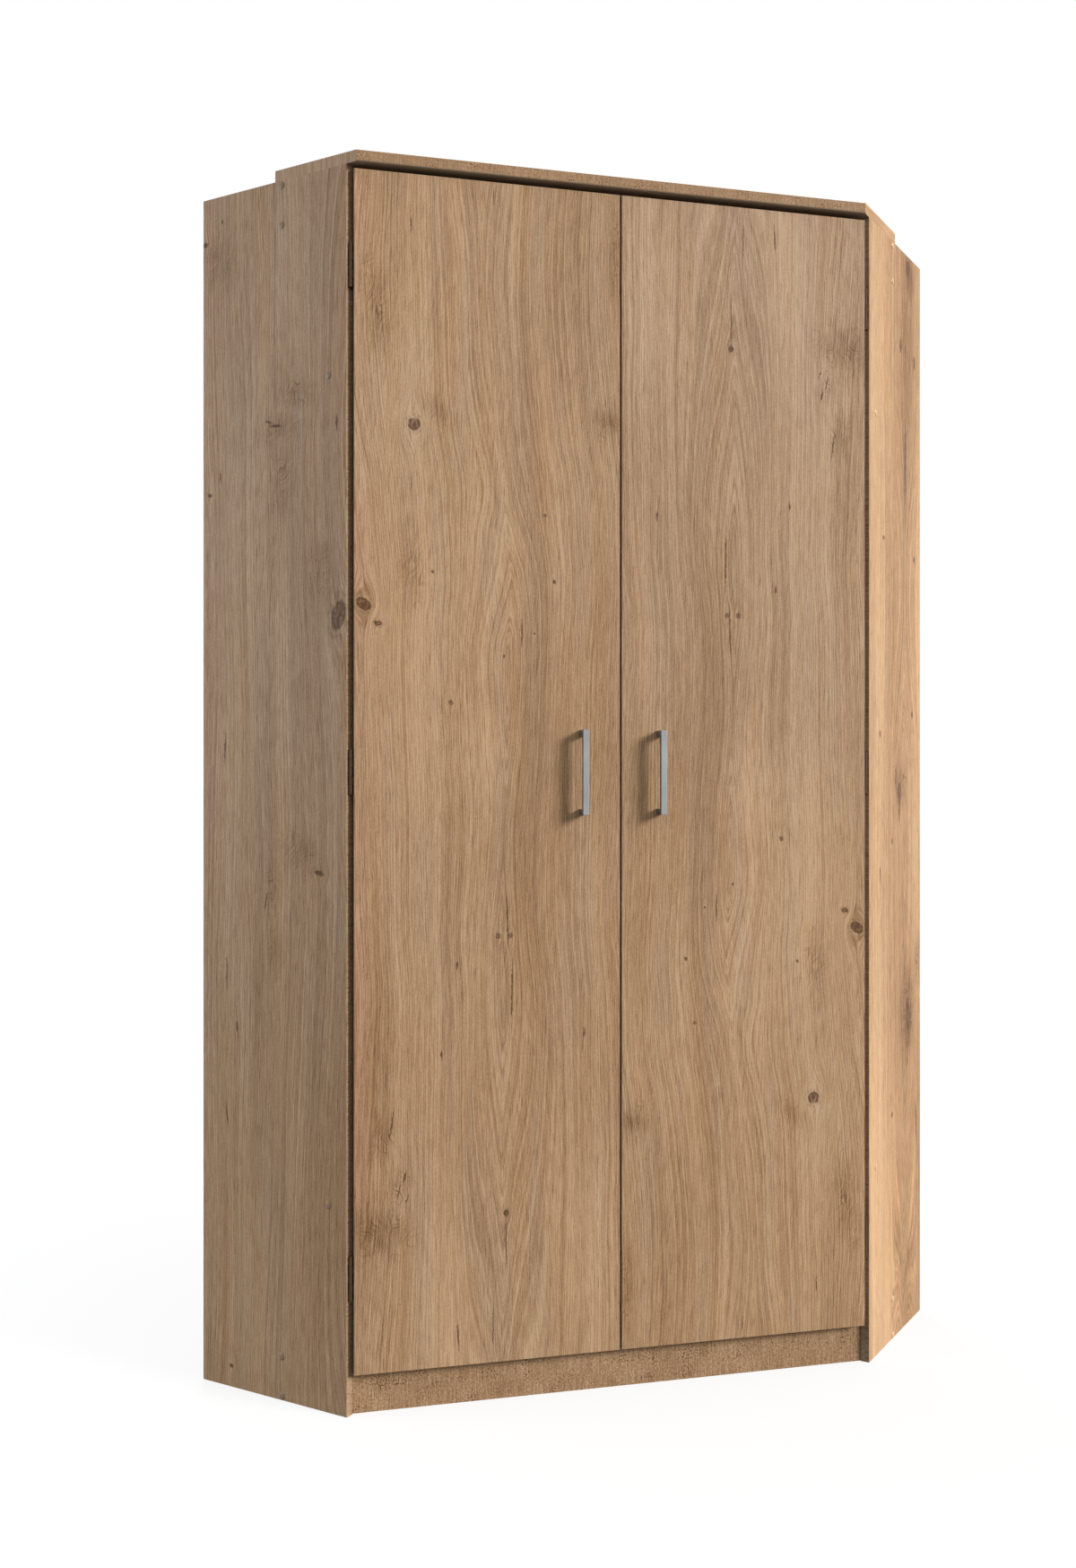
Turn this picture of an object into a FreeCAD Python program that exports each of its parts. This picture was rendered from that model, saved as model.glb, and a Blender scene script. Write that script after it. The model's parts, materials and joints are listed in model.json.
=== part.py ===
import FreeCAD, Part
import os
from math import cos, pi, sin, sqrt

# Corner wardrobe: a five-sided carcass that stands in the corner of a room, with a pair of doors
# across the corner. Lengths are in millimetres. The doors face -Y and +Z is up. The origin is on the
# floor, below the middle of the box that encloses the part.
#
# Two sets of plan coordinates are used. Pieces that are square with the front use x and y. Pieces that
# are square with the walls use a and b: a runs along the left wall and b along the right wall, both
# from the corner of the room, so b is also the distance from the left wall.

Vector = FreeCAD.Vector
UP = Vector(0, 0, 1)
DOWN = Vector(0, 0, -1)
ROOT_TWO = sqrt(2)

# Carcass boards
wall_length = 933.0         # room corner to the outside of an end panel
end_depth = 300.0           # end panel, from the wall to its front edge
carcass_height = 1962.0
board_thick = 15.0
plinth_height = 62.5        # floor to the underside of the bottom board
front_setback = 2.0         # board fronts behind the inner front corners of the end panels
panel_edge_round = 0.8      # long front edges of the end panels

# Back
back_thick = 3.0
back_inset = 10.0           # back panels in front of the walls
groove_depth = 7.0          # grooves that hold the back panels in the end panels
groove_fit = 0.2
post_side = 30.0            # square post in the rear corner
post_fit = 0.4              # notches round the post

# Rails under the top and bottom boards
rail_from_wall = 168.5      # wall to the middle of a rail
rail_screw_rise = 6.0       # screw above the lower edge of a rail

# Shelves
hat_shelf_drop = 326.5      # carcass top to the middle of the hat shelf
lower_shelf_middle = 327.0
shelf_setback = 8.0         # shelf fronts behind the inner front corners of the end panels
shelf_screw_back = 36.5     # screw behind the front edge of the end panel

# Top trim board
trim_thick = 18.0
trim_nose = 20.0            # beyond the front edges of the end panels, along the panels
trim_from_wall = 155.0      # wall to the rear edge of the trim, along the panels
trim_round = 3.0            # lower front edge
trim_top_round = 1.0        # upper front edge
trim_screw_shares = (-0.9, -0.3, 0.3, 0.9)      # of half the width between the end panels

# Doors
door_thick = 15.0
door_gap = 3.0              # between the two doors
door_back_gap = 0.8         # door back in front of the inner front corners of the end panels
door_edge_gap = 0.8         # door corner to the front edge of the end panel
door_rise = 3.3             # door bottom above the plinth
door_top_gap = 7.6          # door top below the trim
door_edge_round = 1.0

# Handles
handle_length = 137.5
handle_width = 10.0
handle_bar_thick = 8.0
handle_reach = 25.6         # door front to the front of the bar
handle_leg = 9.5            # height of a leg, at the very end of the bar
handle_from_edge = 64.6     # free edge of the door to the middle of the handle
handle_round = 0.8

# Hinges: cranked leaves let in flush, with the pin in the groove between door and end panel
hinge_names = ("lower", "middle", "upper")
hinge_height = 70.0
hinge_end_distance = 150.0  # door end to the middle of the nearest hinge
hinge_offset = 4.2          # pin axis to the door edge, and to the end panel's front edge
leaf_thick = 1.5
leaf_wing = 28.0            # width of the leaf on the face of the board
leaf_front = 1.5            # leaf in front of the pin axis
leaf_fit = 0.05             # leaf in its recess
knuckle_radius = 3.0
knuckle_count = 5
knuckle_gap = 0.4
web_thick = 2.0             # between knuckle and leaf
pin_radius = 1.5
pin_fit = 0.05
pin_head_radius = 2.6
pin_head_height = 1.2
hinge_screw_shares = ((0.72, -0.36), (0.42, 0.0), (0.72, 0.36))     # of wing and hinge height

# Round fasteners
hole_fit = 0.1              # round every screw, dowel, nail and pin that stays put
tip_room = 0.5              # hole beyond the tip
long_screw_head_radius = 5.0
long_screw_head_height = 3.0
long_screw_collar_radius = 3.5
long_screw_radius = 2.5
long_screw_length = 50.0
socket_flat = 4.0           # hexagon socket, across the flats
socket_depth = 3.0
cap_radius = 6.0
cap_height = 1.8
cap_rings = 5               # flat rings that make up the dome
cap_stub_radius = 1.7
cap_stub_length = 2.4
dowel_radius = 4.0
dowel_length = 30.0
dowel_deep_share = 2 / 3            # of the length, in the end of the longer board
dowel_from_edge = 38.0              # first and last dowel in the end of a top or bottom board
plinth_dowel_shares = (-0.6, 0.0, 0.6)          # of half the width between the end panels
rail_dowel_shares = (0.25, 0.75)                # of the length of a rail
shelf_pin_radius = 2.5
shelf_pin_length = 16.0
shelf_pin_from_wall = 60.0
small_head_radius = 3.3
small_head_height = 1.5
small_screw_radius = 1.6
small_screw_length = 12.5
pan_head_radius = 4.0
pan_head_height = 2.2
pan_screw_radius = 2.0
trim_screw_length = 28.0
handle_screw_bite = 10.0            # in the leg of the handle
nail_head_radius = 2.4
nail_head_height = 0.8
nail_radius = 0.8
nail_length = 20.0
board_nail_shares = (0.08, 0.3, 0.5, 0.7, 0.92)     # of the rear edge of a board
post_nail_pitch = 240.0
post_nail_share = 0.75              # of the post's side; nails from the two walls pass each other

# Angle brackets at the rear post
bracket_leg = 25.0
bracket_width = 16.0
bracket_thick = 2.0
bracket_hole_share = 0.66           # of the leg

# Clothes rail under the hat shelf
tube_radius = 12.5
tube_wall = 1.2
tube_length = 800.0
tube_from_front = 300.0             # behind the inner front corners of the end panels
tube_drop = 62.0                    # axis below the hat shelf
tube_fit = 0.2
tube_cap_thick = 2.0
tube_cap_plug = 10.0
hanger_from_end = 90.0
hanger_width = 14.0
hanger_ring = 3.0                   # thickness of the ring round the tube
hanger_stem = 8.0
hanger_plate_length = 50.0
hanger_plate_thick = 3.0
hanger_screw_share = 0.36           # of the plate's length, each way from its middle

# Door catches and buffers
catch_length = 42.0
catch_depth = 14.0
catch_height = 13.0
catch_from_middle = 8.0
catch_gap = 0.5                     # magnet to strike plate with the door closed
catch_screw_share = 0.34            # of the length, each way from the middle
catch_screw_length = 22.0
strike_length = 32.0
strike_height = 11.0
strike_thick = 1.2
buffer_radius = 4.0
buffer_gap = 0.3
buffer_rise = 6.0                   # above the door's lower end
buffer_shares = (0.08, 0.6)         # of the door's width, from its free edge

overrun = 1.0                       # cutters beyond the face that they start from
touch = 0.001                       # points closer than this are the same

# Heights
top_board_low = carcass_height - board_thick
top_board_middle = carcass_height - board_thick / 2
bottom_board_middle = plinth_height + board_thick / 2
top_rail_low = top_board_low - plinth_height
hat_shelf_middle = carcass_height - hat_shelf_drop
door_low = plinth_height + door_rise
door_high = carcass_height - door_top_gap
door_middle = (door_low + door_high) / 2

# Plan, measured from the corner of the room
inner_end = wall_length - board_thick           # inside of an end panel
board_rear = back_inset + back_thick            # rear edges of the boards
corner_to_front = (inner_end + end_depth) / ROOT_TWO
corner_to_board_front = corner_to_front - front_setback
corner_to_shelf_front = corner_to_front - shelf_setback
corner_to_door_back = corner_to_front + door_back_gap
corner_to_door_front = corner_to_door_back + door_thick
corner_to_handle = corner_to_door_front + handle_reach
corner_to_rear = ROOT_TWO * back_inset
corner_to_trim_front = (wall_length + end_depth + trim_nose) / ROOT_TWO
corner_to_trim_rear = (wall_length + trim_from_wall) / ROOT_TWO
corner_y = (corner_to_handle + corner_to_rear) / 2      # the corner of the room in the part's frame
half_opening = (inner_end - end_depth) / ROOT_TWO
door_back = corner_y - corner_to_door_back
door_front = corner_y - corner_to_door_front
door_outer = half_opening + door_back_gap - ROOT_TWO * door_edge_gap
door_inner = door_gap / 2
shelf_screw_b = end_depth - shelf_screw_back

# Hinge pin axis of the left door, and how far each leaf runs from the axis to its board's corner
pin_x = -door_outer - hinge_offset
pin_y = pin_x + half_opening + corner_y - corner_to_front - ROOT_TWO * hinge_offset
door_leaf_run = door_back - pin_y
end_leaf_run = (-half_opening - pin_x + corner_y - corner_to_front - pin_y) / ROOT_TWO

# Directions in plan
ALONG_A = Vector(-1 / ROOT_TWO, -1 / ROOT_TWO, 0)
ALONG_B = Vector(1 / ROOT_TWO, -1 / ROOT_TWO, 0)
RIGHT = Vector(1, 0, 0)
FORWARD = Vector(0, -1, 0)
BACKWARD = Vector(0, 1, 0)


def wall_point(a, b, z=0.0):
    """Point given by its distances along the left wall and along the right wall."""
    return Vector((b - a) / ROOT_TWO, corner_y - (a + b) / ROOT_TWO, z)


def prism(points, low, high):
    """Upright solid on a closed outline."""
    outline = [Vector(p.x, p.y, low) for p in points]
    face = Part.Face(Part.makePolygon(outline + outline[:1]))
    return face.extrude(UP * (high - low))


def wall_box(a_range, b_range, z_range):
    """Box that is square with the walls."""
    (a0, a1), (b0, b1) = a_range, b_range
    outline = [wall_point(a0, b0), wall_point(a1, b0), wall_point(a1, b1), wall_point(a0, b1)]
    return prism(outline, *z_range)


def front_box(x_range, y_range, z_range):
    """Box that is square with the front."""
    low = Vector(x_range[0], y_range[0], z_range[0])
    high = Vector(x_range[1], y_range[1], z_range[1])
    size = high - low
    return Part.makeBox(size.x, size.y, size.z, low)


def around(middle, width):
    """Range of a width laid evenly about a middle."""
    return (middle - width / 2, middle + width / 2)


def mirrored(shape):
    """The same piece on the other side of the wardrobe."""
    return shape.mirror(Vector(0, 0, 0), RIGHT)


def both_sides(shapes):
    """Pieces of the left side followed by their mirror images."""
    return list(shapes) + [mirrored(shape) for shape in shapes]


def united(shapes):
    """One solid from pieces that touch."""
    return shapes[0].fuse(list(shapes[1:])).removeSplitter().Solids[0]


def cut_out(shape, cutters):
    """The shape less those cutters that reach it."""
    reaching = [c for c in cutters if shape.BoundBox.intersect(c.BoundBox)]
    if not reaching:
        return shape
    return shape.cut(reaching).Solids[0]


def turned(start, direction, steps, grow=0.0):
    """Round stepped piece: each step is its first radius, last radius and length."""
    pieces = []
    for first, last, length in steps:
        if first == last:
            pieces.append(Part.makeCylinder(first + grow, length, start, direction))
        else:
            pieces.append(Part.makeCone(first + grow, last + grow, length, start, direction))
        start = start + direction * length
    if len(pieces) == 1:
        return pieces[0]
    return united(pieces)


class Fastener:
    """A fastener and the hole that it needs."""

    def __init__(self, solid, hole):
        self.solid = solid
        self.hole = hole


def fastener(start, direction, steps):
    """Round fastener that goes in along a direction from the point where its head starts."""
    depth = sum(length for first, last, length in steps)
    mouth_radius = steps[0][0]
    tip_radius = steps[-1][1]
    mouth_start = start - direction * overrun
    tip_start = start + direction * depth
    mouth = turned(mouth_start, direction, [(mouth_radius, mouth_radius, overrun)], hole_fit)
    tip = turned(tip_start, direction, [(tip_radius, tip_radius, tip_room)], hole_fit)
    hole = united([mouth, turned(start, direction, steps, hole_fit), tip])
    return Fastener(turned(start, direction, steps), hole)


def with_mirrored(fasteners):
    """Fasteners of the left side followed by those of the right side."""
    return fasteners + [Fastener(mirrored(f.solid), mirrored(f.hole)) for f in fasteners]


def solids(fasteners):
    """All solids of a set of fasteners, as one group."""
    return Part.makeCompound([f.solid for f in fasteners])


def holes(*sets):
    """The holes that some sets of fasteners need."""
    return [f.hole for fasteners in sets for f in fasteners]


# Fasteners of the carcass

LONG_SCREW = [
    (long_screw_head_radius, long_screw_collar_radius, long_screw_head_height),
    (long_screw_collar_radius, long_screw_collar_radius, board_thick - long_screw_head_height),
    (long_screw_radius, long_screw_radius, long_screw_length - board_thick),
]
SMALL_SCREW = [
    (small_head_radius, small_screw_radius, small_head_height),
    (small_screw_radius, small_screw_radius, small_screw_length - small_head_height),
]


def pan_screw_steps(length):
    """Pan-head screw whose head stands on the surface: head first, then the shank."""
    return [
        (pan_head_radius, pan_head_radius, pan_head_height),
        (pan_screw_radius, pan_screw_radius, length),
    ]


def panel_screw_places():
    """Where the screws go through an end panel: distance from the wall, and height."""
    return [
        (rail_from_wall, rail_screw_rise),
        (rail_from_wall, bottom_board_middle),
        (rail_from_wall, top_rail_low + rail_screw_rise),
        (rail_from_wall, top_board_middle),
        (shelf_screw_b, lower_shelf_middle),
        (shelf_screw_b, hat_shelf_middle),
    ]


def socketed(screw_solid, start, direction):
    """Long screw with the hexagon socket cut into its head."""
    corner_radius = socket_flat / 2 / cos(pi / 6)
    across = direction.cross(UP) if abs(direction.dot(UP)) < touch else RIGHT
    upright = direction.cross(across)
    corners = []
    for k in range(6):
        angle = k * pi / 3
        corners.append(start + (across * cos(angle) + upright * sin(angle)) * corner_radius)
    face = Part.Face(Part.makePolygon(corners + corners[:1]))
    return screw_solid.cut(face.extrude(direction * socket_depth)).Solids[0]


def long_screw(start, direction):
    """Long screw with a countersunk socket head, flush with the board that it goes through."""
    screw = fastener(start, direction, LONG_SCREW)
    screw.solid = socketed(screw.solid, start, direction)
    return screw


def cover_cap(start, outward):
    """Low domed cap over a screw, its rings on a flattened circle, with a stub in the screw's socket."""
    angles = [k * pi / 2 / cap_rings for k in range(cap_rings)] + [pi / 2]
    steps = []
    for low, high in zip(angles, angles[1:]):
        rise = cap_height * (sin(high) - sin(low))
        last = 0 if high == angles[-1] else cap_radius * cos(high)
        steps.append((cap_radius * cos(low), last, rise))
    dome = turned(start, outward, steps)
    stub = Part.makeCylinder(cap_stub_radius, cap_stub_length, start, outward * -1)
    return united([dome, stub])


def dowel(joint, deep):
    """Dowel across a joint: deep is the direction of its longer part."""
    shallow = dowel_length * (1 - dowel_deep_share)
    return fastener(joint - deep * shallow, deep, [(dowel_radius, dowel_radius, dowel_length)])


def board_end_dowels():
    """Dowels between the left end panel and the ends of the top and bottom boards."""
    places = (board_rear + dowel_from_edge, end_depth - dowel_from_edge)
    heights = (bottom_board_middle, top_board_middle)
    return [dowel(wall_point(inner_end, b, z), ALONG_A * -1) for b in places for z in heights]


def plinth_dowels():
    """Dowels from the plinth up into the bottom board."""
    y = corner_y - corner_to_board_front + board_thick / 2
    return [dowel(Vector(half_opening * share, y, plinth_height), DOWN) for share in plinth_dowel_shares]


def rail_dowels():
    """Dowels between the left rails and the boards that lie on them."""
    length = inner_end - rail_from_wall
    found = []
    for share in rail_dowel_shares:
        a = rail_from_wall + length * share
        found.append(dowel(wall_point(a, rail_from_wall, plinth_height), DOWN))
        found.append(dowel(wall_point(a, rail_from_wall, top_board_low), DOWN))
    return found


def rail_corner_screws():
    """Screws through the left rails into the ends of the right rails."""
    b = rail_from_wall - board_thick / 2
    heights = (plinth_height / 2, top_rail_low + plinth_height / 2)
    return [long_screw(wall_point(rail_from_wall, b, z), ALONG_B) for z in heights]


def shelf_pins():
    """Pins in the left end panel under the rear of each shelf."""
    steps = [(shelf_pin_radius, shelf_pin_radius, shelf_pin_length)]
    found = []
    for middle in (lower_shelf_middle, hat_shelf_middle):
        z = middle - board_thick / 2 - shelf_pin_radius
        start = wall_point(inner_end + shelf_pin_length / 2, shelf_pin_from_wall, z)
        found.append(fastener(start, ALONG_A * -1, steps))
    return found


def trim_screws():
    """Screws up through the top board into the trim."""
    y = corner_y - (corner_to_trim_front + corner_to_trim_rear) / 2
    low = top_board_low - pan_head_height
    steps = pan_screw_steps(trim_screw_length)
    return [fastener(Vector(half_opening * share, y, low), UP, steps) for share in trim_screw_shares]


def back_nails():
    """Nails through the left back panel into the boards' rear edges and the post."""
    steps = [
        (nail_head_radius, nail_head_radius, nail_head_height),
        (nail_radius, nail_radius, nail_length),
    ]
    b = back_inset - nail_head_height
    edge = inner_end - board_rear - post_side
    heights = (bottom_board_middle, lower_shelf_middle, hat_shelf_middle, top_board_middle)
    places = [(board_rear + post_side + edge * share, z) for share in board_nail_shares for z in heights]
    post_nails = int((top_board_low - plinth_height) / post_nail_pitch)
    pitch = (top_board_low - plinth_height) / post_nails
    post_a = board_rear + post_side * post_nail_share
    places += [(post_a, plinth_height + pitch * (k + 1 / 2)) for k in range(post_nails)]
    return [fastener(wall_point(a, b, z), ALONG_B, steps) for a, z in places]


# Boards

def front_line_point(a, distance):
    """Point of a line parallel with the front, at a distance from the corner of the room."""
    return wall_point(a, distance * ROOT_TWO - a)


def five_sided(distance, low):
    """Board that fills the carcass from the back panels to a line parallel with the front."""
    reach = distance * ROOT_TWO - inner_end
    points = [
        wall_point(board_rear, board_rear),
        wall_point(inner_end, board_rear),
        wall_point(inner_end, reach),
        wall_point(reach, inner_end),
        wall_point(board_rear, inner_end),
    ]
    return prism(points, low, low + board_thick)


def post_notch():
    """Space for the rear post through a board."""
    side = board_rear + post_side + post_fit
    return wall_box((0, side), (0, side), (0, carcass_height))


def end_panel(cutters):
    """Left end panel with its groove, hinge recesses and holes."""
    panel = wall_box((inner_end, wall_length), (0, end_depth), (0, carcass_height))
    front = [edge for edge in panel.Edges if is_front_edge(edge)]
    panel = panel.makeFillet(panel_edge_round, front)
    groove_a = (inner_end - overrun, inner_end + groove_depth)
    groove_b = (back_inset - groove_fit, board_rear + groove_fit)
    groove = wall_box(groove_a, groove_b, (-overrun, carcass_height + overrun))
    return cut_out(panel, [groove] + cutters)


def is_front_edge(edge):
    """True for the two upright edges at the front of the left end panel."""
    middle = edge.CenterOfMass
    b = (middle.x - middle.y + corner_y) / ROOT_TWO
    upright = abs(edge.Length - carcass_height) < touch
    return upright and abs(b - end_depth) < touch


def rail(near, low, cutters):
    """Left rail, parallel with the left wall, from near the corner to the end panel."""
    shape = wall_box((near, inner_end), around(rail_from_wall, board_thick), (low, low + plinth_height))
    return cut_out(shape, cutters)


def plinth_board(cutters):
    """Plinth across the front, its ends cut to meet the end panels."""
    front = corner_to_board_front
    rear = front - board_thick
    outline = [
        front_line_point(inner_end, front),
        front_line_point(front * ROOT_TWO - inner_end, front),
        front_line_point(rear * ROOT_TWO - inner_end, rear),
        front_line_point(inner_end, rear),
    ]
    return cut_out(prism(outline, 0, plinth_height), cutters)


def trim_board(cutters):
    """Board on top of the carcass front, with a nose beyond the doors and a rounded lower edge."""
    front = corner_to_trim_front
    rear = corner_to_trim_rear
    outline = [
        front_line_point(wall_length, front),
        front_line_point(front * ROOT_TWO - wall_length, front),
        front_line_point(rear * ROOT_TWO - wall_length, rear),
        front_line_point(wall_length, rear),
    ]
    high = carcass_height + trim_thick
    board = prism(outline, carcass_height, high)
    y = corner_y - front
    board = board.makeFillet(trim_round, edges_at(board, y, carcass_height))
    board = board.makeFillet(trim_top_round, edges_at(board, y, high))
    return cut_out(board, cutters)


def edges_at(shape, y, z):
    """Edges that run along X at one y and z."""
    found = []
    for edge in shape.Edges:
        if all(abs(v.Y - y) < touch and abs(v.Z - z) < touch for v in edge.Vertexes):
            found.append(edge)
    return found


def back_panel(near, cutters):
    """Left back panel, from near the rear corner into the end panel's groove."""
    far = inner_end + groove_depth - groove_fit
    shape = wall_box((near, far), (back_inset, board_rear), (plinth_height, carcass_height))
    return cut_out(shape, cutters)


def rear_post(cutters):
    """Square post in the rear corner, from the floor to the top board."""
    side = (board_rear, board_rear + post_side)
    return cut_out(wall_box(side, side, (0, top_board_low)), cutters)


# Angle brackets that hold the boards to the rear post

def bracket_heights():
    """Undersides of the boards that have a bracket."""
    shelves = (lower_shelf_middle - board_thick / 2, hat_shelf_middle - board_thick / 2)
    return (plinth_height, top_board_low) + shelves


def corner_bracket(z):
    """Bracket between the left face of the post and the underside of a board."""
    face = board_rear + post_side
    width = around(board_rear + post_side / 2, bracket_width)
    upright = wall_box((face, face + bracket_thick), width, (z - bracket_leg, z))
    level = wall_box((face, face + bracket_leg), width, (z - bracket_thick, z))
    return united([upright, level])


def corner_bracket_screws(z):
    """One screw into the post and one up into the board."""
    face = board_rear + post_side
    middle = board_rear + post_side / 2
    reach = bracket_leg * bracket_hole_share
    into_post = wall_point(face + bracket_thick, middle, z - reach)
    into_board = wall_point(face + reach, middle, z - bracket_thick)
    return [fastener(into_post, ALONG_A * -1, SMALL_SCREW), fastener(into_board, UP, SMALL_SCREW)]


# Clothes rail

tube_y = corner_y - corner_to_front + tube_from_front
tube_z = hat_shelf_middle - board_thick / 2 - tube_drop


def clothes_rail():
    """Round tube along X."""
    start = Vector(-tube_length / 2, tube_y, tube_z)
    outside = Part.makeCylinder(tube_radius, tube_length, start, RIGHT)
    inside = Part.makeCylinder(tube_radius - tube_wall, tube_length, start, RIGHT)
    return outside.cut(inside).Solids[0]


def rail_end_cap():
    """Cap in the left end of the tube."""
    start = Vector(-tube_length / 2, tube_y, tube_z)
    disc = Part.makeCylinder(tube_radius, tube_cap_thick, start, RIGHT * -1)
    plug = Part.makeCylinder(tube_radius - tube_wall - hole_fit, tube_cap_plug, start, RIGHT)
    return united([disc, plug])


hanger_x = -tube_length / 2 + hanger_from_end


def hanger(cutters):
    """Bracket under the hat shelf with a ring round the tube."""
    shelf_low = tube_z + tube_drop
    across = around(hanger_x, hanger_width)
    plate_heights = (shelf_low - hanger_plate_thick, shelf_low)
    plate = front_box(across, around(tube_y, hanger_plate_length), plate_heights)
    ring_radius = tube_radius + tube_fit + hanger_ring
    start = Vector(across[0], tube_y, tube_z)
    ring = Part.makeCylinder(ring_radius, hanger_width, start, RIGHT)
    stem = front_box(across, around(tube_y, hanger_stem), (tube_z, shelf_low))
    bore = Part.makeCylinder(tube_radius + tube_fit, hanger_width, start, RIGHT)
    return cut_out(united([plate, stem, ring]), [bore] + cutters)


def hanger_screws():
    """Two screws through a hanger's plate up into the hat shelf."""
    low = tube_z + tube_drop - hanger_plate_thick
    step = hanger_plate_length * hanger_screw_share
    places = [Vector(hanger_x, tube_y + side * step, low) for side in (-1, 1)]
    return [fastener(place, UP, SMALL_SCREW) for place in places]


# Hinges

END_LEAF_OUT = Vector(-1 / ROOT_TWO, 1 / ROOT_TWO, 0)       # from the pin square to the end panel's edge
END_LEAF_ALONG = Vector(1 / ROOT_TWO, 1 / ROOT_TWO, 0)      # along that edge to its inner corner


def hinge_heights():
    """Middle of each hinge, evenly spaced along the door."""
    low = door_low + hinge_end_distance
    high = door_high - hinge_end_distance
    last = len(hinge_names) - 1
    return [low + (high - low) * k / last for k in range(last + 1)]


def leaf_outline(out, along, run, gap=0.0):
    """Plan of a leaf: along the board's edge to its corner, then along its face."""
    near = hinge_offset
    beyond = overrun if gap else 0
    outline = [
        (near - beyond, -leaf_front - gap),
        (near + leaf_thick + gap, -leaf_front - gap),
        (near + leaf_thick + gap, run - leaf_thick - gap),
        (near + leaf_wing + gap, run - leaf_thick - gap),
        (near + leaf_wing + gap, run + beyond),
        (near - beyond, run + beyond),
    ]
    pin = Vector(pin_x, pin_y, 0)
    return [pin + out * u + along * v for u, v in outline]


def leaf_screws(out, along, run, middle):
    """Countersunk screws through the wing of a leaf into its board."""
    pin = Vector(pin_x, pin_y, 0)
    found = []
    for across, up in hinge_screw_shares:
        start = pin + out * (hinge_offset + leaf_wing * across) + along * run
        start = start + UP * (middle + hinge_height * up)
        found.append(fastener(start, along * -1, SMALL_SCREW))
    return found


def knuckles(first, out, along, low):
    """Every second knuckle from the first, each with the web that joins it to the leaf."""
    pin = Vector(pin_x, pin_y, 0)
    corners = [(0, -1), (1, -1), (1, 1), (0, 1)]
    web = [pin + out * (u * hinge_offset) + along * (v * web_thick / 2) for u, v in corners]
    pitch = hinge_height / knuckle_count
    height = pitch - knuckle_gap
    pieces = []
    for k in range(first, knuckle_count, 2):
        base = low + pitch * k + knuckle_gap / 2
        pieces.append(Part.makeCylinder(knuckle_radius, height, pin + UP * base))
        pieces.append(prism(web, base, base + height))
    return pieces


def hinge_leaf(first, out, along, run, middle):
    """Cranked leaf with its knuckles, the pin bore and the screw holes."""
    low = middle - hinge_height / 2
    plate = prism(leaf_outline(out, along, run), low, low + hinge_height)
    leaf = united([plate] + knuckles(first, out, along, low))
    bore = Part.makeCylinder(pin_radius + pin_fit, hinge_height, Vector(pin_x, pin_y, low))
    return cut_out(leaf, [bore] + holes(leaf_screws(out, along, run, middle)))


def leaf_recess(out, along, run, middle):
    """Recess for a leaf in its board."""
    low = middle - hinge_height / 2 - leaf_fit
    return prism(leaf_outline(out, along, run, leaf_fit), low, low + hinge_height + 2 * leaf_fit)


def hinge_pin(middle):
    """Pin with a round head that rests on the top knuckle."""
    start = Vector(pin_x, pin_y, middle - hinge_height / 2)
    shank = Part.makeCylinder(pin_radius, hinge_height, start)
    head = Part.makeCylinder(pin_head_radius, pin_head_height, start + UP * hinge_height)
    return united([shank, head])


# Doors, handles, catches and buffers

handle_x = -door_inner - handle_from_edge


def handle_screw_places():
    """Heights of the two legs of a handle."""
    step = (handle_length - handle_leg) / 2
    return (door_middle - step, door_middle + step)


def handle_screws():
    """Screws from inside the left door into the legs of its handle."""
    steps = pan_screw_steps(door_thick + handle_screw_bite)
    y = door_back + pan_head_height
    return [fastener(Vector(handle_x, y, z), FORWARD, steps) for z in handle_screw_places()]


def handle(cutters):
    """Bar handle of the left door: a bar and two legs in one casting."""
    front = door_front - handle_reach
    across = around(handle_x, handle_width)
    bar = front_box(across, (front, front + handle_bar_thick), around(door_middle, handle_length))
    legs = [front_box(across, (front, door_front), around(z, handle_leg)) for z in handle_screw_places()]
    shape = united([bar] + legs)
    edges = [e for e in shape.Edges if not all(abs(v.Y - door_front) < touch for v in e.Vertexes)]
    return cut_out(shape.makeFillet(handle_round, edges), cutters)


def door_board(cutters):
    """Left door with its front edges eased."""
    board = front_box((-door_outer, -door_inner), (door_front, door_back), (door_low, door_high))
    front = [e for e in board.Edges if all(abs(v.Y - door_front) < touch for v in e.Vertexes)]
    return cut_out(board.makeFillet(door_edge_round, front), cutters)


catch_x = -catch_from_middle - catch_length / 2
catch_front = door_back + strike_thick + catch_gap


def catch_screws():
    """Screws through the left catch up into the top board."""
    step = catch_length * catch_screw_share
    y = catch_front + catch_depth / 2
    low = top_board_low - catch_height
    steps = [
        (small_head_radius, small_screw_radius, small_head_height),
        (small_screw_radius, small_screw_radius, catch_screw_length - small_head_height),
    ]
    return [fastener(Vector(catch_x + side * step, y, low), UP, steps) for side in (-1, 1)]


def magnet_catch(cutters):
    """Magnetic catch of the left door, under the top board."""
    depth = (catch_front, catch_front + catch_depth)
    body = front_box(around(catch_x, catch_length), depth, (top_board_low - catch_height, top_board_low))
    return cut_out(body, cutters)


strike_z = top_board_low - catch_height / 2


def strike_screw():
    """Screw that holds the strike plate on the left door."""
    start = Vector(catch_x, door_back + strike_thick, strike_z)
    return [fastener(start, FORWARD, SMALL_SCREW)]


def strike_plate(cutters):
    """Steel plate on the back of the left door, in front of the catch."""
    depth = (door_back, door_back + strike_thick)
    plate = front_box(around(catch_x, strike_length), depth, around(strike_z, strike_height))
    return cut_out(plate, cutters)


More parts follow.
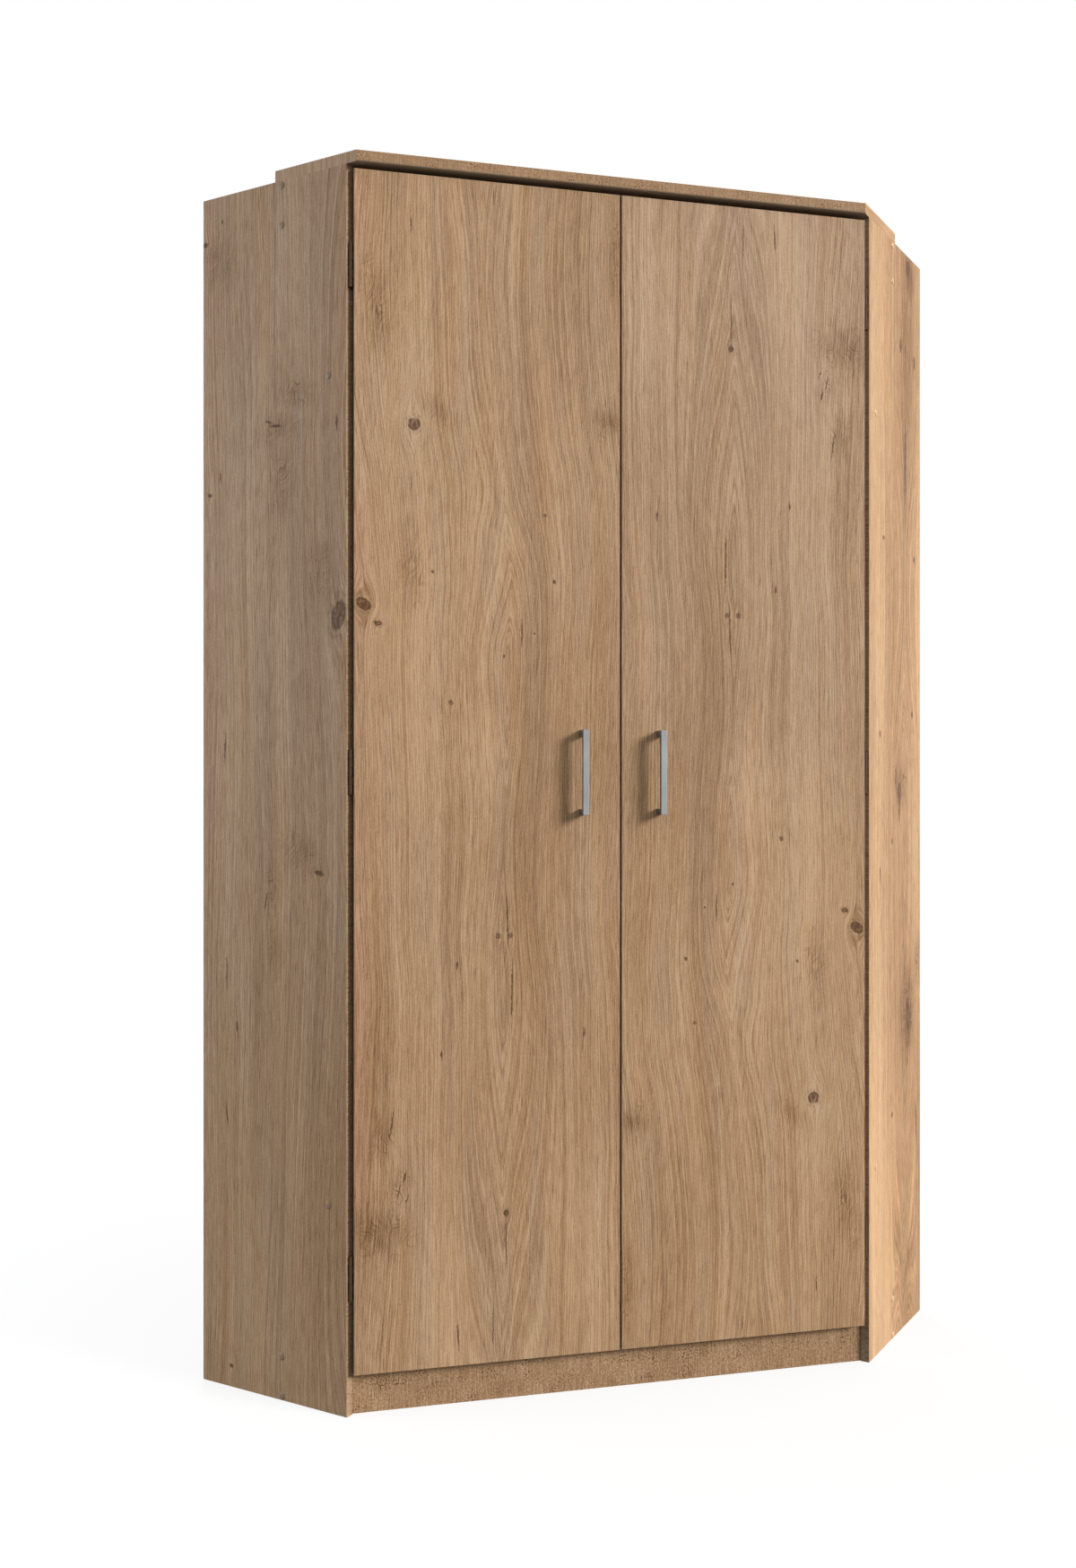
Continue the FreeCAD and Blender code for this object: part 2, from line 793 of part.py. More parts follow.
def door_buffers():
    """Soft pads on the back of the left door that meet the bottom board."""
    thick = corner_to_door_back - corner_to_board_front - buffer_gap
    width = door_outer - door_inner
    pads = []
    for share in buffer_shares:
        start = Vector(-door_inner - width * share, door_back, door_low + buffer_rise)
        pads.append(Part.makeCylinder(buffer_radius, thick, start, BACKWARD))
    return Part.makeCompound(pads)


def carcass_nodes():
    """Every piece that stands still, by name."""
    panel_places = panel_screw_places()
    panel_screws = [long_screw(wall_point(wall_length, b, z), ALONG_A * -1) for b, z in panel_places]
    caps = [cover_cap(wall_point(wall_length, b, z), ALONG_A) for b, z in panel_places]
    end_dowels = board_end_dowels()
    left_rail_dowels = rail_dowels()
    pins = shelf_pins()
    nails = back_nails()
    left_hanger_screws = hanger_screws()
    left_catch_screws = catch_screws()
    left_bracket_screws = [s for z in bracket_heights() for s in corner_bracket_screws(z)]
    plinth_pins = plinth_dowels()
    corner_screws = rail_corner_screws()
    upper_screws = trim_screws()
    hinges = list(zip(hinge_names, hinge_heights()))
    end_leaf = (END_LEAF_OUT, END_LEAF_ALONG, end_leaf_run)
    leaf_fixings = [s for name, z in hinges for s in leaf_screws(*end_leaf, z)]
    recesses = [leaf_recess(*end_leaf, z) for name, z in hinges]

    left_sets = (panel_screws, end_dowels, left_rail_dowels, pins, nails, left_hanger_screws)
    left_sets += (left_catch_screws, left_bracket_screws)
    left_holes = holes(*left_sets)
    right_holes = [mirrored(hole) for hole in left_holes]
    drilled = left_holes + right_holes + holes(plinth_pins, corner_screws, upper_screws)

    nodes = {}
    left_panel = end_panel(holes(panel_screws, end_dowels, pins, leaf_fixings) + recesses)
    nodes["left_end_panel"] = left_panel
    nodes["right_end_panel"] = mirrored(left_panel)
    nodes["top_board"] = cut_out(five_sided(corner_to_board_front, top_board_low), drilled)
    bottom = five_sided(corner_to_board_front, plinth_height)
    nodes["bottom_board"] = cut_out(bottom, [post_notch()] + drilled)
    for name, middle in (("lower_shelf", lower_shelf_middle), ("hat_shelf", hat_shelf_middle)):
        shelf = five_sided(corner_to_shelf_front, middle - board_thick / 2)
        nodes[name] = cut_out(shelf, [post_notch()] + drilled)
    nodes["plinth_board"] = plinth_board(drilled)
    long_near = rail_from_wall - board_thick / 2
    short_near = rail_from_wall + board_thick / 2
    for name, low in (("plinth_rail", 0), ("top_rail", top_rail_low)):
        nodes["left_" + name] = rail(long_near, low, drilled)
        nodes["right_" + name] = cut_out(mirrored(rail(short_near, low, [])), drilled)
    nodes["top_trim_board"] = trim_board(drilled)
    nodes["left_back_panel"] = back_panel(back_inset, holes(nails))
    nodes["right_back_panel"] = mirrored(back_panel(board_rear, holes(nails)))
    nodes["rear_corner_post"] = rear_post(drilled)

    brackets = [cut_out(corner_bracket(z), holes(left_bracket_screws)) for z in bracket_heights()]
    nodes["corner_brackets"] = Part.makeCompound(both_sides(brackets))
    nodes["corner_bracket_screws"] = solids(with_mirrored(left_bracket_screws))
    nodes["panel_screws"] = solids(with_mirrored(panel_screws))
    nodes["rail_corner_screws"] = solids(corner_screws)
    nodes["trim_screws"] = solids(upper_screws)
    nodes["left_cover_caps"] = Part.makeCompound(caps)
    nodes["right_cover_caps"] = Part.makeCompound([mirrored(cap) for cap in caps])
    side_dowels = end_dowels + left_rail_dowels
    nodes["dowels"] = solids(with_mirrored(side_dowels) + plinth_pins)
    nodes["shelf_pins"] = solids(with_mirrored(pins))
    nodes["back_panel_nails"] = solids(with_mirrored(nails))

    nodes["clothes_rail"] = clothes_rail()
    nodes["rail_end_caps"] = Part.makeCompound(both_sides([rail_end_cap()]))
    left_hanger = hanger(holes(left_hanger_screws))
    nodes["left_rail_hanger"] = left_hanger
    nodes["right_rail_hanger"] = mirrored(left_hanger)
    nodes["rail_hanger_screws"] = solids(with_mirrored(left_hanger_screws))
    left_catch = magnet_catch(holes(left_catch_screws))
    nodes["left_magnet_catch"] = left_catch
    nodes["right_magnet_catch"] = mirrored(left_catch)
    nodes["magnet_catch_screws"] = solids(with_mirrored(left_catch_screws))

    for name, z in hinges:
        leaf = hinge_leaf(0, *end_leaf, z)
        nodes["left_" + name + "_hinge_panel_leaf"] = leaf
        nodes["right_" + name + "_hinge_panel_leaf"] = mirrored(leaf)
    pins_left = [hinge_pin(z) for name, z in hinges]
    nodes["left_hinge_pins"] = Part.makeCompound(pins_left)
    nodes["right_hinge_pins"] = Part.makeCompound([mirrored(pin) for pin in pins_left])
    nodes["hinge_panel_screws"] = solids(with_mirrored(leaf_fixings))
    return nodes


def left_door_nodes():
    """Every piece that swings with the left door, by name."""
    hinges = list(zip(hinge_names, hinge_heights()))
    door_leaf = (RIGHT, BACKWARD, door_leaf_run)
    leaf_fixings = [s for name, z in hinges for s in leaf_screws(*door_leaf, z)]
    recesses = [leaf_recess(*door_leaf, z) for name, z in hinges]
    bar_screws = handle_screws()
    plate_screw = strike_screw()
    nodes = {}
    nodes["door"] = door_board(recesses + holes(leaf_fixings, bar_screws, plate_screw))
    nodes["handle"] = handle(holes(bar_screws))
    nodes["handle_screws"] = solids(bar_screws)
    nodes["strike_plate"] = strike_plate(holes(plate_screw))
    nodes["door_buffers"] = door_buffers()
    for name, z in hinges:
        nodes[name + "_hinge_door_leaf"] = hinge_leaf(1, *door_leaf, z)
    nodes["door_small_screws"] = solids(leaf_fixings + plate_screw)
    return nodes


def all_nodes():
    """Every piece of the wardrobe, by name."""
    nodes = carcass_nodes()
    for name, shape in left_door_nodes().items():
        nodes["left_" + name] = shape
        nodes["right_" + name] = mirrored(shape)
    return nodes


os.makedirs("parts", exist_ok=True)
for name, shape in all_nodes().items():
    shape.exportStep("parts/" + name + ".step")
    state = "valid" if shape.isValid() else "not valid"
    print(name, len(shape.Solids), "solids", round(shape.Volume), "mm3", state)
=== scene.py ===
import json
from collections import namedtuple
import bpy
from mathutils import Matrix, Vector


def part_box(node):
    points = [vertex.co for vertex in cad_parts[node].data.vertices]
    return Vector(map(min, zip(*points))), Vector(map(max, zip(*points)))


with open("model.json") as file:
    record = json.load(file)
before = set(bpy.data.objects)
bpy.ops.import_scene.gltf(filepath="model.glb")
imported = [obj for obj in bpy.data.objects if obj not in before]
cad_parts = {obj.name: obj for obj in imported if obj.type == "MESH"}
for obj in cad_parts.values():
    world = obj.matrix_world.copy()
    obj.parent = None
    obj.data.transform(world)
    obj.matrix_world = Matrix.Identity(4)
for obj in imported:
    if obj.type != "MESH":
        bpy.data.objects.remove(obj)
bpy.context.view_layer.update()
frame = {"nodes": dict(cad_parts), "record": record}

from copy import copy
from math import cos, pi, radians, sin, sqrt
import bpy
import numpy as np

# Corner wardrobe in oak decor. Lengths are metres in the part's frame. Inside the oak finish, the decor
# sheet is measured in millimetres: across the grain, along the grain from the sheet's head, and inwards
# from the face.

ROOT_HALF = 1 / sqrt(2)
MM = 1000.0
BOARD = 0.015    # thickness of the end panels and rails
LEFT_OUT = (-ROOT_HALF, -ROOT_HALF, 0)       # out of the left end panel
RIGHT_OUT = (ROOT_HALF, -ROOT_HALF, 0)
LEFT_FORWARD = (ROOT_HALF, -ROOT_HALF, 0)    # from the wall to the front, along the left end panel
RIGHT_BACK = (ROOT_HALF, ROOT_HALF, 0)       # from the front to the wall, along the right end panel
FRONT_OUT = (0, -1, 0)


def from_srgb(red, green, blue):
    """Linear colour from the usual 0 to 255 screen values, by the screen's own curve."""
    share = np.array([red, green, blue]) / 255
    linear = np.where(share <= 0.04045, share / 12.92, ((share + 0.055) / 1.055) ** 2.4)
    return (*linear.tolist(), 1.0)


# Finishes: a small language for node trees

MIX_FIRST, MIX_SECOND, MIX_RESULT = 6, 7, 2    # colour sockets of the Mix node, which it holds by number

# A layer of noise: the width and length of its cells in millimetres, its strength, and the shear that keeps
# the rows of cells from lining up into bands.
Layer = namedtuple("Layer", "width length strength shear", defaults=(0.0,))


class Field:
    """A number that varies over a surface. Arithmetic on it adds Math nodes to its finish."""

    def __init__(self, finish, socket):
        self.finish = finish
        self.socket = socket

    def __add__(self, other):
        return self.finish.math("ADD", self, other)

    def __radd__(self, other):
        return self.finish.math("ADD", other, self)

    def __sub__(self, other):
        return self.finish.math("SUBTRACT", self, other)

    def __rsub__(self, other):
        return self.finish.math("SUBTRACT", other, self)

    def __mul__(self, other):
        return self.finish.math("MULTIPLY", self, other)

    def __rmul__(self, other):
        return self.finish.math("MULTIPLY", other, self)

    def __truediv__(self, other):
        return self.finish.math("DIVIDE", self, other)

    def step(self, low, high):
        """0 up to low, 1 from high on, with a soft rise between them."""
        return self.finish.rise(self, low, high)


class Finish:
    """A material with a Principled shader, and short calls for the nodes that feed it."""

    def __init__(self, name, **constants):
        self.material = bpy.data.materials.new(name)
        self.material.use_nodes = True
        self.tree = self.material.node_tree
        self.tree.nodes.clear()
        self.shader = self.node("ShaderNodeBsdfPrincipled")
        output = self.node("ShaderNodeOutputMaterial")
        self.tree.links.new(self.shader.outputs[0], output.inputs[0])
        for socket, value in constants.items():
            self.shader.inputs[socket.replace("_", " ")].default_value = value
        self.places = self.node("ShaderNodeTexCoord")

    def node(self, kind, **settings):
        made = self.tree.nodes.new(kind)
        for name, value in settings.items():
            setattr(made, name, value)
        return made

    def feed(self, socket, value):
        """Sets a socket to a constant, or links a field or another socket to it."""
        if isinstance(value, Field):
            self.tree.links.new(value.socket, socket)
        elif isinstance(value, bpy.types.NodeSocket):
            self.tree.links.new(value, socket)
        else:
            socket.default_value = value

    def math(self, operation, *values):
        made = self.node("ShaderNodeMath", operation=operation)
        for socket, value in zip(made.inputs, values):
            self.feed(socket, value)
        return Field(self, made.outputs[0])

    def rise(self, value, low, high):
        made = self.node("ShaderNodeMapRange", interpolation_type="SMOOTHSTEP")
        for name, number in (("Value", value), ("From Min", low), ("From Max", high)):
            self.feed(made.inputs[name], number)
        return Field(self, made.outputs["Result"])

    def dot(self, source, direction):
        """Component of object coordinates or of the object's own normal along a direction."""
        made = self.node("ShaderNodeVectorMath", operation="DOT_PRODUCT")
        self.feed(made.inputs[0], self.places.outputs[source])
        made.inputs[1].default_value = direction
        return Field(self, made.outputs["Value"])

    def point(self, x, y, z):
        made = self.node("ShaderNodeCombineXYZ")
        for socket, value in zip(made.inputs, (x, y, z)):
            self.feed(socket, value)
        return made.outputs[0]

    def millimetres(self):
        """Object coordinates in millimetres."""
        return [self.dot("Object", axis) * MM for axis in ((1, 0, 0), (0, 1, 0), (0, 0, 1))]

    def noise(self, x, y, z=None, detail=0.0):
        """Smooth noise about 0 with cells one unit wide."""
        made = self.node("ShaderNodeTexNoise", noise_dimensions="2D" if z is None else "3D")
        self.feed(made.inputs["Vector"], self.point(x, y, 0.0 if z is None else z))
        made.inputs["Scale"].default_value = 1.0
        made.inputs["Detail"].default_value = detail
        return Field(self, made.outputs["Fac"]) - 0.5

    def layer(self, cells, x, y, start=(0.0, 0.0), detail=0.0):
        """Noise about 0 in a layer's cells: their width along x, their length along y, slanted by their
        shear. The start moves to another part of the pattern."""
        places = [x / cells.width, y / cells.length]
        if cells.shear:
            places[1] = places[1] + x * cells.shear
        for k in (0, 1):
            if start[k]:
                places[k] = places[k] + start[k]
        return self.noise(*places, detail=detail)

    def spot(self, across, along, middle, half_width, half_length, turn=0.0):
        """Distance from the middle of a spot, 1 on the rim of its ellipse."""
        angle = radians(turn)
        squares = 0.0
        for size, along_part, across_part in (
            (half_width, sin(angle), cos(angle)), (half_length, cos(angle), -sin(angle)),
        ):
            start = -(middle[0] * across_part + middle[1] * along_part) / size
            part = self.math("MULTIPLY_ADD", along, along_part / size, start) if along_part else start
            part = self.math("MULTIPLY_ADD", across, across_part / size, part) if across_part else part
            squares = self.math("MULTIPLY_ADD", part, part, squares)
        return self.math("SQRT", squares)

    def curve(self, value, length, points, reach):
        """Smooth curve through points given along a length, with values from 0 to reach."""
        made = self.node("ShaderNodeFloatCurve")
        self.feed(made.inputs["Value"], value / length)
        line = made.mapping.curves[0]
        stops = [(along / length, height / reach) for along, height in points]
        for end, stop in ((0, stops[0]), (-1, stops[-1])):
            line.points[end].location = stop
        for stop in stops[1:-1]:
            line.points.new(*stop)
        made.mapping.update()
        return Field(self, made.outputs[0]) * reach

    def ramp(self, value, stops):
        """Colour from stops of (value, linear colour)."""
        made = self.node("ShaderNodeValToRGB")
        self.feed(made.inputs[0], value)
        marks = made.color_ramp.elements
        while len(marks) < len(stops):
            marks.new(0.5)
        while len(marks) > len(stops):
            marks.remove(marks[-1])
        for mark, (where, colour) in zip(marks, stops):
            mark.position = where
            mark.color = colour
        return made.outputs[0]

    def mix_colour(self, share, first, second, way="MIX"):
        made = self.node("ShaderNodeMix", data_type="RGBA", blend_type=way)
        self.feed(made.inputs["Factor"], share)
        self.feed(made.inputs[MIX_FIRST], first)
        self.feed(made.inputs[MIX_SECOND], second)
        return made.outputs[MIX_RESULT]

    def multiply_colour(self, first, second):
        return self.mix_colour(1.0, first, second, "MULTIPLY")

    def bump(self, height, strength, distance):
        made = self.node("ShaderNodeBump")
        made.inputs["Strength"].default_value = strength
        made.inputs["Distance"].default_value = distance
        self.feed(made.inputs["Height"], height)
        self.feed(self.shader.inputs["Normal"], made.outputs[0])

    def colour(self, value):
        self.feed(self.shader.inputs["Base Color"], value)

    def rough(self, value):
        self.feed(self.shader.inputs["Roughness"], value)


# Oak decor

class Sheet:
    """How the decor lies on a board: the head corner, the two directions in the sheet and the way out."""

    def __init__(self, corner, across, along, out, width, length, thick):
        self.corner = np.array(corner)
        self.across = across
        self.along = along
        self.out = out
        self.width = width * MM
        self.length = length * MM
        self.thick = thick * MM


class Figure:
    """What one decor print shows, in millimetres on the sheet."""

    def __init__(self, heart, knots=(), marks=(), burls=(), washes=(), shift=0.0, depth=1.0, lean=0.2,
                 wildness=1.0, cast=((0.0, (1, 1, 1)),), edge_shade=(0.75, 0.8, 0.9)):
        self.heart = heart          # (along, across, lift, strength): the line where the arches meet, the
                                    # lift of the rings on it, and how clearly they are drawn
        self.knots = knots          # (across, along, half width, half length, turn, darkness): the grain
                                    # runs round these
        self.marks = marks          # (across, along, half width, half length, turn): dashes, cracks and dots
        self.burls = burls          # the same, for wild grain
        self.washes = washes        # (across, along, half width, half length, levels): broad soft changes
        self.shift = shift          # moves the finer grain to another part of the pattern
        self.depth = depth          # strength of the fine grain
        self.lean = lean            # slope of the strokes in the wild grain
        self.wildness = wildness    # strength of the wild grain
        self.cast = cast            # (share of the length, colour): painted light: tint of the face from head to foot, cooler on shaded faces and warmer on lit ones
        self.edge_shade = edge_shade  # painted shade: darker, cooler tint on the board's edges, where they lie in the grooves


OAK_TONES = [
    (0.0, from_srgb(66, 44, 27)),
    (0.25, from_srgb(119, 86, 55)),
    (0.5, from_srgb(170, 136, 103)),
    (0.62, from_srgb(193, 160, 127)),
    (1.0, from_srgb(224, 195, 163)),
]
TONE_SPAN = 200.0    # screen levels from the darkest tone to the palest
STREAK_CASTS = [(0.0, (0.97, 1.005, 1.06, 1.0)), (1.0, (1.035, 0.995, 0.93, 1.0))]
KNOT_COLOUR = from_srgb(80, 50, 29)
# painted shade: a duller, greyer colour for the undersides of the trim and plinth
UNDERSIDE_SHADE_COLOUR = from_srgb(158, 142, 122)
DECOR_SHEEN = 0.16
DECOR_RELIEF = 0.0003    # metres

# Edges of a board: where their grain starts on the sheet, how it is squeezed, and its depth
EDGE_FACING = 0.5
EDGE_SQUEEZE = 0.55
EDGE_START_ACROSS = 40.0
EDGE_START_ALONG = 3000.0
EDGE_DEPTH = 0.75

# Rings. The reaches are the largest values of the heart line's curves, in millimetres.
HEART_REACH = 500.0
LIFT_REACH = 200.0
ARCH_REACH = 44.0     # how far from the heart line the rings are lifted
ARCH_POINT = 4.0      # rounding of the arches' points
ARCH_PLAIN = 0.75     # share of the arches everywhere
ARCH_CLEAR = 0.6      # more of it on the heart line
RING_LENGTH = 900.0
RING_SLANT = RING_LENGTH / 110.0

# Layers of the oak decor. The drifts and the waver are in millimetres, the others in screen levels.
GRAIN_DRIFTS = [Layer(150.0, 800.0, 34.0), Layer(44.0, 250.0, 8.0), Layer(12.0, 80.0, 1.5)]
RING_WAVER = Layer(9.0, 40.0, 0.9)
ARCHES = Layer(5.0, RING_LENGTH, 30.0)
FINE_RINGS = Layer(1.8, RING_LENGTH, 66.0)
BROAD_RINGS = Layer(15.0, RING_LENGTH, 17.0)
BANDS = Layer(46.0, RING_LENGTH, 15.0)
CLOUDS = Layer(80.0, 420.0, 20.0)
FIBRES = Layer(1.0, 60.0, 60.0, 0.37)
PORES = Layer(1.0, 26.0, 24.0, 0.29)
PORE_EDGE = (0.06, 0.26)
PORE_LIFT = 3.0       # levels that make up for the pores' darkness
SPECKS = Layer(1.5, 4.0, 36.0, 0.23)
WARM_STREAKS = Layer(36.0, 500.0, 1.4)

# Wild grain: a swirl that turns the strokes, light and dark strokes, and dark cores in the pale ones
SWIRL = Layer(40.0, 55.0, 76.0)
STROKES = Layer(2.6, 34.0, 150.0, 0.21)
CORE_EDGE = (0.02, 0.24)
CORE_LEVELS = 60.0
WILD_LEVELS = 8.0
PATCH_FADE = (0.1, 1.2)    # distances from a patch's middle where it starts to fade and where it ends

# Knots. Distances are in half widths of the knot, and shares are of its colour.
KNOT_DISC = (0.7, 1.1, 0.66)      # start and end of the edge, share
KNOT_EYE = (0.1, 0.5, 0.2)
KNOT_RIM = (0.95, 0.3, 0.46)      # middle, half width, share
OUTER_RING = (1.5, 0.36, 0.26)
OUTER_GAPS = (-0.15, 0.2)         # noise over which the outer ring comes and goes
MARK = (0.5, 1.3, 0.8)
KNOT_WANDER = Layer(5.0, 8.0, 1.5)
WANDER_ACROSS = 3.0
WANDER_ALONG = 5.0
KNOT_MOST = 0.88
BEND_ACROSS = 3.4                 # how far the grain bends round a knot, in its half widths and lengths
BEND_ALONG = 7.0
BEND_SHARE = 0.8
SPOT_FADE = (0.1, 1.0)


def sheet_places(finish, sheet):
    """Distances on the sheet, across and along, in millimetres, and 1 on the edges of the board. The inner
    face wears the sheet turned end for end, and on the edges the grain crosses the thickness."""
    def measure(direction):
        offset = float(np.dot(sheet.corner, direction)) * MM
        return finish.dot("Object", direction) * MM - offset

    across, along = measure(sheet.across), measure(sheet.along)
    inwards = measure(tuple(-d for d in sheet.out))
    inner = finish.math("GREATER_THAN", inwards, sheet.thick / 2)
    across = across + inner * (sheet.width - 2.0 * across)
    along = along + inner * (sheet.length - 2.0 * along)
    facing = finish.math("ABSOLUTE", finish.dot("Normal", sheet.out))
    edge = finish.math("LESS_THAN", facing, EDGE_FACING)
    edge_across = along * EDGE_SQUEEZE + EDGE_START_ACROSS
    edge_along = inwards + EDGE_START_ALONG
    return across + edge * (edge_across - across), along + edge * (edge_along - along), edge


def added(total, more):
    return more if total is None else total + more


def round_knots(finish, figure, across, along, grain):
    """The grain pushed aside round each knot."""
    for k_across, k_along, half_width, half_length, _, _ in figure.knots:
        middle = (k_across, k_along)
        reach = finish.spot(across, along, middle, half_width * BEND_ACROSS, half_length * BEND_ALONG)
        grain = grain - (across - k_across) * (1.0 - reach.step(*SPOT_FADE)) * BEND_SHARE
    return grain


def knot_share(finish, figure, across, along, wander):
    """Share of knot colour. A knot has a flat disc, an eye, a dark rim and part of an outer ring, times its
    darkness. A mark is a soft stroke."""
    def disc(distance, start, end, share):
        return (1.0 - distance.step(start, end)) * share

    def ring(distance, middle, half_width, share):
        return (1.0 - finish.math("ABSOLUTE", distance - middle).step(0.0, half_width)) * share

    dark = None
    for k_across, k_along, half_width, half_length, turn, darkness in figure.knots:
        distance = finish.spot(across, along, (k_across, k_along), half_width, half_length, turn)
        parts = disc(distance, *KNOT_DISC) + disc(distance, *KNOT_EYE) + ring(distance, *KNOT_RIM)
        parts = parts + ring(distance, *OUTER_RING) * wander.step(*OUTER_GAPS)
        dark = added(dark, parts * darkness)
    for m_across, m_along, half_width, half_length, turn in figure.marks:
        distance = finish.spot(across, along, (m_across, m_along), half_width, half_length, turn)
        dark = added(dark, disc(distance, *MARK))
    return dark


def burl_share(finish, figure, across, along):
    """1 inside the patches of wild grain, 0 outside."""
    wild = None
    for b_across, b_along, half_width, half_length, turn in figure.burls:
        distance = finish.spot(across, along, (b_across, b_along), half_width, half_length, turn)
        patch = 1.0 - distance.step(*PATCH_FADE)
        wild = patch if wild is None else finish.math("MAXIMUM", wild, patch)
    return wild


def broad_tone(finish, figure, across, along):
    """Sum of the broad washes in levels, each full in its middle and fading out at its rim."""
    total = None
    for w_across, w_along, half_width, half_length, levels in figure.washes:
        distance = finish.spot(across, along, (w_across, w_along), half_width, half_length)
        total = added(total, (1.0 - distance.step(*SPOT_FADE)) * levels)
    return total


def oak_ramp(finish, tone):
    """Oak colour from a tone in screen levels about the middle one."""
    return finish.ramp(tone / TONE_SPAN + 0.5, OAK_TONES)


def oak(name, sheet, figure):
    """Oak decor: streaks along the grain, pointed arches where the rings meet on the heart line, pores,
    knots, cracks and wild grain. Tone is built in screen levels about the middle colour."""
    finish = Finish(name, Specular_IOR_Level=DECOR_SHEEN)
    across, along, edge = sheet_places(finish, sheet)
    shift = figure.shift

    # sideways drift of the grain, and the way it runs round knots
    grain = across
    for drift in GRAIN_DRIFTS:
        grain = grain + finish.layer(drift, across, along, (0.0, shift)) * drift.strength
    grain = round_knots(finish, figure, across, along, grain)

    # rings: distance from the heart line, lifted near it so that equal distances draw arches
    heart, lift, strength = (
        finish.curve(along, sheet.length, [(row[0], row[k]) for row in figure.heart], reach)
        for k, reach in ((1, HEART_REACH), (2, LIFT_REACH), (3, 1.0)))
    aside = grain - heart
    square = aside * aside
    near = finish.math("EXPONENT", square * (-1.0 / (2 * ARCH_REACH ** 2)))
    ring = finish.math("SQRT", square + ARCH_POINT ** 2) + lift * near
    ring = ring + finish.layer(RING_WAVER, across, along) * RING_WAVER.strength
    side = along + aside * RING_SLANT    # changes slowly along a line, and differs left and right

    arches = finish.layer(ARCHES, ring, side, (0.0, shift + 20.0), detail=1.0) * ARCHES.strength
    tone = arches * (ARCH_PLAIN + near * strength * ARCH_CLEAR)
    for lines, start, detail in ((FINE_RINGS, 0.0, 1.0), (BROAD_RINGS, 40.0, 0.0), (BANDS, 60.0, 0.0)):
        tone = tone + finish.layer(lines, ring, side, (0.0, shift + start), detail) * lines.strength
    tone = tone + finish.layer(CLOUDS, across, along, (shift, 0.0), detail=1.0) * CLOUDS.strength
    fibre = finish.layer(FIBRES, grain, along, detail=1.0)
    pore = finish.layer(PORES, grain, along, (70.0, 0.0)).step(*PORE_EDGE)
    tone = tone + fibre * FIBRES.strength - pore * PORES.strength + PORE_LIFT
    tone = tone + finish.layer(SPECKS, across, along, detail=1.0) * SPECKS.strength
    tone = tone * (figure.depth + edge * (EDGE_DEPTH - figure.depth))
    if figure.burls:
        wild = burl_share(finish, figure, across, along)
        swirl = finish.layer(SWIRL, across, along, detail=1.0) * SWIRL.strength
        turned = across + along * figure.lean + swirl
        stroke = finish.layer(STROKES, turned, along, detail=1.0)
        levels = stroke * STROKES.strength - stroke.step(*CORE_EDGE) * CORE_LEVELS - WILD_LEVELS
        tone = tone + wild * figure.wildness * levels
    if figure.washes:
        tone = tone + broad_tone(finish, figure, across, along)

    oak_colour = oak_ramp(finish, tone)
    if figure.knots:
        wander = finish.layer(KNOT_WANDER, across, along, detail=1.0)
        places = (across + wander * WANDER_ACROSS, along + wander * WANDER_ALONG)
        share = knot_share(finish, figure, *places, wander)
        share = finish.math("MINIMUM", share * (1.0 + wander * KNOT_WANDER.strength), KNOT_MOST)
        oak_colour = finish.mix_colour(share, oak_colour, KNOT_COLOUR)
    # painted light: each face's tint from head to foot; the warm streaks multiplied in below are grain
    cast = finish.ramp(along / sheet.length, [(part, (*tint, 1.0)) for part, tint in figure.cast])
    # painted shade: the board's edges take a darker, cooler tint
    cast = finish.mix_colour(edge, cast, (*figure.edge_shade, 1.0))
    warmth = finish.layer(WARM_STREAKS, grain, along, (90.0, shift), detail=1.0) * WARM_STREAKS.strength
    cast = finish.multiply_colour(cast, finish.ramp(warmth + 0.5, STREAK_CASTS))
    finish.colour(finish.multiply_colour(oak_colour, cast))
    finish.bump(fibre * 0.4 - pore, strength=0.3, distance=DECOR_RELIEF)
    finish.rough(0.5 - 0.1 * fibre + 0.1 * pore)
    return finish.material


# Layers of the flecked print, in screen levels: on the front, on the slanting ends and on the upper side
SAND = Layer(1.5, 2.2, 76.0)
FLECKS = Layer(3.2, 5.0, 56.0)
SHORT_LINES = Layer(2.4, 36.0, 40.0)
MOTTLE = Layer(70.0, 60.0, 34.0)
CLUSTERS = Layer(46.0, 30.0, 62.0)
CLUSTER_EDGE = (-0.02, 0.3)
DARK_SPECKS = Layer(2.4, 3.0, 14.0)
UPRIGHT_FINE = Layer(1.8, 90.0, 70.0)
UPRIGHT_BROAD = Layer(6.0, 200.0, 34.0)
LYING = Layer(2.6, 90.0, 90.0)
END_LIFT = 8.0
LENGTHWISE_FINE = Layer(1.8, 260.0, 70.0, 0.31)
LENGTHWISE_BROAD = Layer(7.0, 400.0, 40.0, 0.07)
TURNED_TO_END = (0.3, 0.5)      # parts of the normal over which one face of a board gives way to the next
TURNED_FLAT = (0.2, 0.6)


